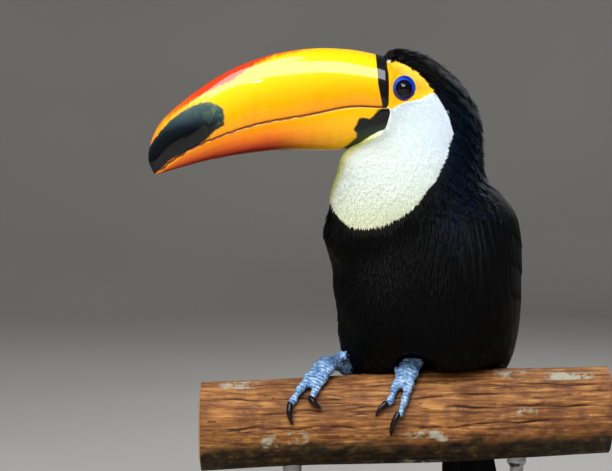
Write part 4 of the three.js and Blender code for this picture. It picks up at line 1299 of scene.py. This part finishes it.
def makeClaw(side, name):
    footX, toes = legs[side]
    startX, endX, clawX, start, end = toes[name]
    sense = math.copysign(1, end)
    reach = clawReach.get((side, name), 25)

    def shape(u, v):
        t = u
        middle = lambda s: onBranch(footX + endX + clawX * s - 1.3 * np.sin(math.pi * s),
                                    np.radians(end + sense * (reach * s - 1)),
                                    2.9 + 1.9 * np.sin(math.pi * s) - 1.6 * s)
        s = t * 1.08 - 0.08                                 # the claw's root lies inside the toe
        here, ahead = middle(s), middle(s + 0.01)
        run = unit(ahead - here)
        out = here * np.array([0, 1, 1]) - np.stack([0 * t, 0 * t, branchAxis(here[:, 0])], -1)
        out = unit(out - run * (out * run).sum(-1, keepdims=True))
        flank = np.cross(run, out)
        radius = np.interp(t, [0, 0.06, 0.4, 0.7, 0.88, 0.96, 1], [2.5, 2.8, 2.6, 2.1, 1.4, 0.8, 0.08])
        radius = radius * blend(1, clawGirth.get((side, name), 1), fade(t, 0.08, 0.45))
        turn = v * 2 * math.pi
        under = 1 - 0.25 * fade(-np.sin(turn), 0.5, 1)      # a flat underside with sharp edges
        return here + flank * (radius * 0.86 * np.cos(turn))[:, None] \
            + out * (radius * 1.08 * np.sin(turn) * under)[:, None]

    return wrapGrid("claw", 26, 20, shape, lambda u, v: {"clawPlace": u})


def clawMaterial():
    # claw horn: near black, smooth, worn browner at the point
    material, tree, shader = newMaterial("dark_claw_horn")
    place = addNode(tree, "TexCoord")
    along = addNode(tree, "Attribute", {"attribute_name": "clawPlace"})
    stretch = addNode(tree, "TexNoise", {"Scale": 700.0, "Detail": 3.0}, {"Vector": place.outputs["Object"]})
    tone = addNode(tree, "ValToRGB", {"ramp": [(0.0, "#10141a"), (0.6, "#0b0b0d"), (1.0, "#2c1d14")]},
                   {"Fac": along.outputs["Fac"]})
    tree.links.new(tone.outputs["Color"], shader.inputs["Base Color"])
    rough = addNode(tree, "MapRange", {"To Min": 0.22, "To Max": 0.42}, {"Value": stretch.outputs["Fac"]})
    tree.links.new(rough.outputs[0], shader.inputs["Roughness"])
    bump = addNode(tree, "Bump", {"Strength": 0.2, "Distance": 0.0002}, {"Height": stretch.outputs["Fac"]})
    tree.links.new(bump.outputs[0], shader.inputs["Normal"])
    shader.inputs["IOR"].default_value = 1.54
    return material


# ---- branch ----

cracks = [  # angle from the crest, x from, x to, depth, width, drift along its length
    (22, -150, -70, 1.3, 1.3, 5), (34, -60, 60, 1.1, 1.2, -7), (52, -155, -40, 1.8, 1.6, 6), (57, -25, 85, 2.0, 1.5, -5),
    (44, 40, 155, 1.5, 1.4, 7), (70, -120, 10, 1.6, 1.4, -6), (76, 20, 150, 1.7, 1.6, 5), (66, 90, 158, 1.2, 1.2, 3),
    (12, 60, 156, 1.0, 1.1, 4), (93, -150, -30, 1.5, 1.6, 5), (98, 0, 120, 1.6, 1.5, -6), (-28, -140, 0, 1.5, 1.5, 6),
    (-50, -20, 150, 1.7, 1.6, -5), (-82, -150, 60, 1.8, 1.7, 6), (-120, -60, 150, 1.8, 1.7, 4), (140, -150, 90, 1.9, 1.8, 5),
    (82, 60, 130, 1.1, 1.1, -4), (40, -140, -95, 0.9, 1.0, 2), (62, -70, -30, 0.9, 1.0, 3), (48, 100, 158, 0.9, 1.0, -3)]


lichens = [  # x, degrees from the crest, and reaches: crusts of pale lichen
    (-90, 107, 15, 9), (-104, 112, 9, 8), (16, 108, 17, 5), (34, 112, 11, 6), (82, 24, 13, 11), (93, 84, 8, 6),
    (128, 30, 20, 9), (-128, 20, 16, 12), (-120, -60, 18, 14), (60, -80, 26, 16), (-10, -70, 16, 10), (0, 170, 30, 20)]


def makeBranch():
    around, ends = 300, 12

    def surface(x, angle):
        radius = branchRadius(x, angle)
        grain = 0.16 * np.sin(7 * angle + x / 21) + 0.12 * np.sin(17 * angle + x / 34 + 2) \
            + 0.10 * np.sin(31 * angle - x / 27) + 0.07 * np.sin(61 * angle + x / 15)
        radius = radius + grain - 0.3
        degrees = np.degrees((angle + math.pi) % (2 * math.pi) - math.pi)
        for middle, start, end, depth, width, drift in cracks:
            t = (x - start) / (end - start)
            line = middle + drift * (t - 0.5) + 1.4 * np.sin(x / 9 + middle) + 0.6 * np.sin(x / 3.7 + middle)
            gap = ((degrees - line + 180) % 360 - 180) * math.radians(1) * branchSize["radius"]
            window = fade(t, 0, 0.15) * fade(t, 1, 0.85) * (0.6 + 0.4 * np.sin(x / 13 + middle) ** 2)
            radius = radius - depth * window * np.exp(-np.abs(gap / (0.55 * width)) ** 1.5)
        rough = fade(np.abs(degrees - 125), 40, 12) + fade(np.abs(degrees + 140), 60, 20)
        lumps = np.sin(x / 2.9 + 5 * angle) * np.sin(x / 4.3 - 9 * angle) + np.sin(x / 1.9 + 3 * angle) * np.sin(19 * angle)
        return radius + 0.35 * rough * lumps + 2.4 * fade(np.abs(degrees), 95, 145)

    def shape(u, v):
        angle = v * 2 * math.pi
        half = branchSize["length"] / 2
        total = 230
        step = u * total
        cap = np.maximum(np.maximum(ends - step, step - (total - ends)), 0) / ends    # 0 on the side, 1 at the middle
        side = np.clip((step - ends) / (total - 2 * ends), 0, 1)
        x = -half + 2 * half * side
        radius = surface(x, angle)
        x = x - np.sign(side - 0.5) * 1.1 * fade(cap, 0.2, 0) * fade(np.abs(x), half - 3, half)   # a worn rim
        rings = 0.25 * np.sin(cap * 46) * fade(cap, 0.02, 0.15)
        x = x + np.sign(side - 0.5) * rings
        radius = radius * (1 - cap)
        return np.stack([x, -radius * np.sin(angle), branchAxis(x) + radius * np.cos(angle)], -1)

    def notes(u, v):
        angle = v * 2 * math.pi
        total = 230
        step = u * total
        cap = np.maximum(np.maximum(ends - step, step - (total - ends)), 0) / ends
        side = np.clip((step - ends) / (total - 2 * ends), 0, 1)
        x = -160 + 320 * side
        degrees = np.degrees((angle + math.pi) % (2 * math.pi) - math.pi)
        sunk = branchRadius(x, angle) - surface(x, angle)
        crust = sum(np.exp(-((x - spotX) / reachX) ** 4 - ((degrees - turn) / reachTurn) ** 4)
                    for spotX, turn, reachX, reachTurn in lichens)
        return {"grain": np.stack([x, degrees, sunk], -1), "cutEnd": np.where(cap > 0.02, cap, 0), "lichen": crust}

    return wrapGrid("branch", 230, around, shape, notes)


def branchMaterial():
    # weathered softwood branch, debarked: long grain, painted shade deep in the checks, lichen on the damp side
    material, tree, shader = newMaterial("weathered_debarked_wood")
    place = addNode(tree, "TexCoord")
    parts = addNode(tree, "SeparateXYZ", links={
        "Vector": addNode(tree, "Attribute", {"attribute_name": "grain"}).outputs["Vector"]})
    cut = addNode(tree, "Attribute", {"attribute_name": "cutEnd"})
    stretch = addNode(tree, "Mapping", {"Scale": (34, 420, 420)}, {"Vector": place.outputs["Object"]})
    fibre = addNode(tree, "TexNoise", {"Scale": 1.0, "Detail": 6.0, "Roughness": 0.62, "Distortion": 0.35},
                    {"Vector": stretch.outputs[0]})            # fibres about 2 mm apart
    broad = addNode(tree, "TexNoise", {"Scale": 38.0, "Detail": 4.0, "Roughness": 0.6},
                    {"Vector": place.outputs["Object"]})
    blotch = addNode(tree, "TexNoise", {"Scale": 85.0, "Detail": 5.0, "Roughness": 0.7},
                     {"Vector": place.outputs["Object"]})
    wood = addNode(tree, "ValToRGB", {"ramp": [(0.28, "#573619"), (0.42, "#80542c"), (0.56, "#a5743f"),
                                              (0.72, "#c99b62")]}, {"Fac": fibre.outputs["Fac"]})
    tone = addNode(tree, "ValToRGB", {"ramp": [(0.32, "#7c5a4c"), (0.58, "#ffffff")]}, {"Fac": broad.outputs["Fac"]})
    colour = addNode(tree, "Mix", {"data_type": "RGBA", "blend_type": "MULTIPLY", 0: 0.62},
                     {6: wood.outputs["Color"], 7: tone.outputs["Color"]}).outputs[2]
    # purple-brown stains
    stain = addNode(tree, "MapRange", {"From Min": 0.5, "From Max": 0.68, "To Max": 0.7}, {"Value": blotch.outputs["Fac"]})
    colour = addNode(tree, "Mix", {"data_type": "RGBA", 7: "#5f3a30"}, {0: stain.outputs[0], 6: colour}).outputs[2]
    # hairline checks that follow the grain
    hair = addNode(tree, "Mapping", {"Scale": (11, 130, 130)}, {"Vector": place.outputs["Object"]})
    hairNoise = addNode(tree, "TexNoise", {"Scale": 1.0, "Detail": 2.5, "Roughness": 0.5, "Distortion": 0.5},
                        {"Vector": hair.outputs[0]})
    fromLine = addNode(tree, "Math", {"operation": "SUBTRACT", 1: 0.5}, {0: hairNoise.outputs["Fac"]})
    nearLine = addNode(tree, "Math", {"operation": "ABSOLUTE"}, {0: fromLine.outputs[0]})
    line = addNode(tree, "MapRange", {"From Min": 0.010, "From Max": 0.003}, {"Value": nearLine.outputs[0]})
    broken = addNode(tree, "MapRange", {"From Min": 0.44, "From Max": 0.54, "To Max": 0.8}, {"Value": broad.outputs["Fac"]})
    check = addNode(tree, "Math", {"operation": "MULTIPLY"}, {0: line.outputs[0], 1: broken.outputs[0]})
    colour = addNode(tree, "Mix", {"data_type": "RGBA", 7: "#27140a"}, {0: check.outputs[0], 6: colour}).outputs[2]
    # moss and painted shade on the underside, dark from 88 degrees round the front, wandering
    wander = addNode(tree, "MapRange", {"To Min": -24.0, "To Max": 24.0}, {"Value": broad.outputs["Fac"]})
    around = addNode(tree, "Math", {"operation": "ABSOLUTE"}, {0: parts.outputs["Y"]})
    lower = addNode(tree, "Math", {"operation": "ADD"}, {0: around.outputs[0], 1: wander.outputs[0]})
    mossAndShade = addNode(tree, "MapRange", {"From Min": 110.0, "From Max": 126.0}, {"Value": lower.outputs[0]})
    mossAndShadeTone = addNode(tree, "ValToRGB", {"ramp": [(0.35, "#120c06"), (0.55, "#3a2d14"), (0.72, "#6d5c2c")]},
                       {"Fac": blotch.outputs["Fac"]})
    colour = addNode(tree, "Mix", {"data_type": "RGBA"},
                     {0: mossAndShade.outputs[0], 6: colour, 7: mossAndShadeTone.outputs["Color"]}).outputs[2]
    # pale lichen and droppings
    crust = addNode(tree, "Attribute", {"attribute_name": "lichen"})
    pale = addNode(tree, "MapRange", {"From Min": 0.2, "From Max": 0.7, "To Max": 0.85}, {"Value": crust.outputs["Fac"]})
    speck = addNode(tree, "MapRange", {"From Min": 0.46, "From Max": 0.56}, {"Value": blotch.outputs["Fac"]})
    lichen = addNode(tree, "Math", {"operation": "MULTIPLY"}, {0: pale.outputs[0], 1: speck.outputs[0]})
    colour = addNode(tree, "Mix", {"data_type": "RGBA", 7: "#a9a795"}, {0: lichen.outputs[0], 6: colour}).outputs[2]
    # painted shade: darker the deeper the surface is sunk into the checks
    checkShade = addNode(tree, "MapRange", {"From Min": 0.55, "From Max": 1.5, "To Max": 0.9}, {"Value": parts.outputs["Z"]})
    colour = addNode(tree, "Mix", {"data_type": "RGBA", 7: "#2b1408"}, {0: checkShade.outputs[0], 6: colour}).outputs[2]
    # the sawn ends show pale rings
    ring = addNode(tree, "Math", {"operation": "MULTIPLY", 1: 92.0}, {0: cut.outputs["Fac"]})
    wave = addNode(tree, "Math", {"operation": "SINE"}, {0: ring.outputs[0]})
    ringTone = addNode(tree, "MapRange", {"From Min": -1.0}, {"Value": wave.outputs[0]})
    endTone = addNode(tree, "ValToRGB", {"ramp": [(0.1, "#a9794a"), (0.8, "#cfa878")]}, {"Fac": ringTone.outputs[0]})
    onEnd = addNode(tree, "MapRange", {"From Max": 0.05}, {"Value": cut.outputs["Fac"]})
    colour = addNode(tree, "Mix", {"data_type": "RGBA"},
                     {0: onEnd.outputs[0], 6: colour, 7: endTone.outputs["Color"]}).outputs[2]
    tree.links.new(colour, shader.inputs["Base Color"])
    bump = addNode(tree, "Bump", {"Strength": 0.55, "Distance": 0.0009}, {"Height": fibre.outputs["Fac"]})
    crust = addNode(tree, "Bump", {"Strength": 0.35, "Distance": 0.0012},
                    {"Height": blotch.outputs["Fac"], "Normal": bump.outputs[0]})
    tree.links.new(crust.outputs[0], shader.inputs["Normal"])
    shader.inputs["Roughness"].default_value = 0.72
    shader.inputs["IOR"].default_value = 1.5
    return material


# ---- display stand ----

standLook = {"bevel": 2.2, "rodX": 88, "rodRadius": 5, "collarRadius": 9.5}


def makeBase():
    base = copyOfNodes("base_board", "stand_base")
    makeActive(base)
    bpy.ops.object.mode_set(mode="EDIT")
    bpy.ops.mesh.select_all(action="SELECT")
    bpy.ops.mesh.dissolve_limited(angle_limit=math.radians(1))
    bpy.ops.object.mode_set(mode="OBJECT")
    applyModifier(base, "BEVEL", width=standLook["bevel"] * mm, segments=5, limit_method="ANGLE",
                  angle_limit=math.radians(50))
    bpy.ops.object.shade_smooth_by_angle(angle=math.radians(35))
    material, tree, shader = newMaterial("oiled_walnut")       # planed and oiled: long figure, satin gloss
    place = addNode(tree, "TexCoord")
    stretch = addNode(tree, "Mapping", {"Scale": (5, 48, 48)}, {"Vector": place.outputs["Object"]})
    figure = addNode(tree, "TexNoise", {"Scale": 1.0, "Detail": 5.0, "Roughness": 0.6, "Distortion": 1.2},
                     {"Vector": stretch.outputs[0]})
    poreMap = addNode(tree, "Mapping", {"Scale": (60, 1500, 1500)}, {"Vector": place.outputs["Object"]})
    pores = addNode(tree, "TexNoise", {"Scale": 1.0, "Detail": 2.0}, {"Vector": poreMap.outputs[0]})
    tone = addNode(tree, "ValToRGB", {"ramp": [(0.3, "#2c1a10"), (0.5, "#4a2d1b"), (0.68, "#6a4529")]},
                   {"Fac": figure.outputs["Fac"]})
    dark = addNode(tree, "ValToRGB", {"ramp": [(0.34, "#6d6d6d"), (0.46, "#ffffff")]}, {"Fac": pores.outputs["Fac"]})
    mixed = addNode(tree, "Mix", {"data_type": "RGBA", "blend_type": "MULTIPLY", 0: 0.7},
                    {6: tone.outputs["Color"], 7: dark.outputs["Color"]})
    tree.links.new(mixed.outputs[2], shader.inputs["Base Color"])
    bump = addNode(tree, "Bump", {"Strength": 0.2, "Distance": 0.0003}, {"Height": pores.outputs["Fac"]})
    tree.links.new(bump.outputs[0], shader.inputs["Normal"])
    shader.inputs["Roughness"].default_value = 0.38
    base.data.materials.append(material)
    return base


def makeRod(name, x):
    lowest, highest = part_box(name)
    bottom, top = lowest.z / mm, highest.z / mm

    def shape(u, v):
        # one turned piece: rod, a collar on the board and a collar under the branch
        under = branchAxis(x) - branchRadius(np.array([x]), np.array([math.pi]))[0]
        places = [0, 0, 18.2, 18.2, 22.5, 24.5, 30, 60, under - 22, under - 9, under - 6, under + 2, under + 2, top, top]
        radii = [0, 5, 5, 9.0, 9.0, 7.0, 5, 5, 5, 5.4, 7.5, 7.5, 5, 5, 0]
        places[0] = places[1] = bottom
        spine = np.array(list(zip(places, radii)), float)
        steps = np.linspace(0, 1, len(spine))
        z, radius = np.interp(u, steps, spine[:, 0]), np.interp(u, steps, spine[:, 1])
        turn = v * 2 * math.pi
        return np.stack([x + radius * np.cos(turn), radius * np.sin(turn), z], -1)

    rod = wrapGrid(name.replace("stand_", "turned_"), 14 * 6, 40, shape)
    bpy.ops.object.shade_smooth_by_angle(angle=math.radians(40))
    return rod


def steelMaterial():
    # brushed stainless steel: fine turned lines round the rod
    material, tree, shader = newMaterial("brushed_stainless_steel")
    place = addNode(tree, "TexCoord")
    stretch = addNode(tree, "Mapping", {"Scale": (120, 120, 5200)}, {"Vector": place.outputs["Object"]})
    lines = addNode(tree, "TexNoise", {"Scale": 1.0, "Detail": 2.0}, {"Vector": stretch.outputs[0]})
    tone = addNode(tree, "ValToRGB", {"ramp": [(0.3, "#8f9194"), (0.7, "#b9bbbd")]}, {"Fac": lines.outputs["Fac"]})
    rough = addNode(tree, "MapRange", {"To Min": 0.22, "To Max": 0.4}, {"Value": lines.outputs["Fac"]})
    tree.links.new(tone.outputs["Color"], shader.inputs["Base Color"])
    tree.links.new(rough.outputs[0], shader.inputs["Roughness"])
    bump = addNode(tree, "Bump", {"Strength": 0.15, "Distance": 0.0001}, {"Height": lines.outputs["Fac"]})
    tree.links.new(bump.outputs[0], shader.inputs["Normal"])
    shader.inputs["Metallic"].default_value = 1.0
    return material


# ---- assembly ----

placeCamera()
placeLamps()
makeSweep()
print("studio is set")

skin, kind = makeSkin()
skinTree = surfaceTree(skin)
coatPieces, coatTree, blackFeathers = makeCoats(skin, kind)
print("coat is grown")
wings = makeWings(coatTree, blackFeathers)
tailFeathers = makeTail(blackFeathers)
lids = [makeLid(side, skinTree) for side in eyes]
skinMaterial = bareSkinMaterial()
skin.data.materials.append(skinMaterial)
for lid in lids:
    lid.data.materials.append(skinMaterial)
makeActive(skin)
for lid in lids:
    lid.select_set(True)
bpy.ops.object.join()
bpy.ops.object.shade_smooth()
print(f"skin has {sum(len(face.vertices) - 2 for face in skin.data.polygons)} triangles")

upperBill = makeMandible("mandible_upper", culmen, mouthLine, True)
lowerBill = makeMandible("mandible_lower", mouthLine, billFloor, False)
upperBill.data.materials.append(billMaterial("upper_bill_horn", True))
lowerBill.data.materials.append(billMaterial("lower_bill_horn", False))
print("bill is shaped")

eyeballs = {side: makeEye(side) for side in eyes}
wet = eyeMaterial()
for eyeball in eyeballs.values():
    eyeball.data.materials.append(wet)
claws = {f"{side}_{name}": makeClaw(side, name) for side, name in digits}
horn = clawMaterial()
for name, clawPiece in claws.items():
    clawPiece.name = f"talon_{name}"
    clawPiece.data.materials.append(horn)

branchPiece = makeBranch()
branchPiece.data.materials.append(branchMaterial())
board = makeBase()
steel = steelMaterial()
rods = {name: makeRod(name, x) for name, x in (("stand_rod_left", 88), ("stand_rod_right", -88))}
for rodPiece in rods.values():
    rodPiece.data.materials.append(steel)
print("branch and stand are made")

for piece in throwaway:
    bpy.data.objects.remove(piece)
everything = [skin, tailFeathers, upperBill, lowerBill, branchPiece, board] + coatPieces + wings \
    + list(eyeballs.values()) + list(claws.values()) + list(rods.values())
for piece in everything:
    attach(piece, "root")
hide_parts(*flesh)
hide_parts("tail")
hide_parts("bill_upper")
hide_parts("bill_lower")
for side, eyeball in eyeballs.items():
    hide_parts(f"eye_{side}")
for name, clawPiece in claws.items():
    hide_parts(f"claw_{name}")
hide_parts("stand_perch")
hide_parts("stand_base")
for name, rodPiece in rods.items():
    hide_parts(name)

total = sum(len(face.vertices) - 2 for piece in everything for face in piece.data.polygons)
print(f"the whole model has {total} triangles")
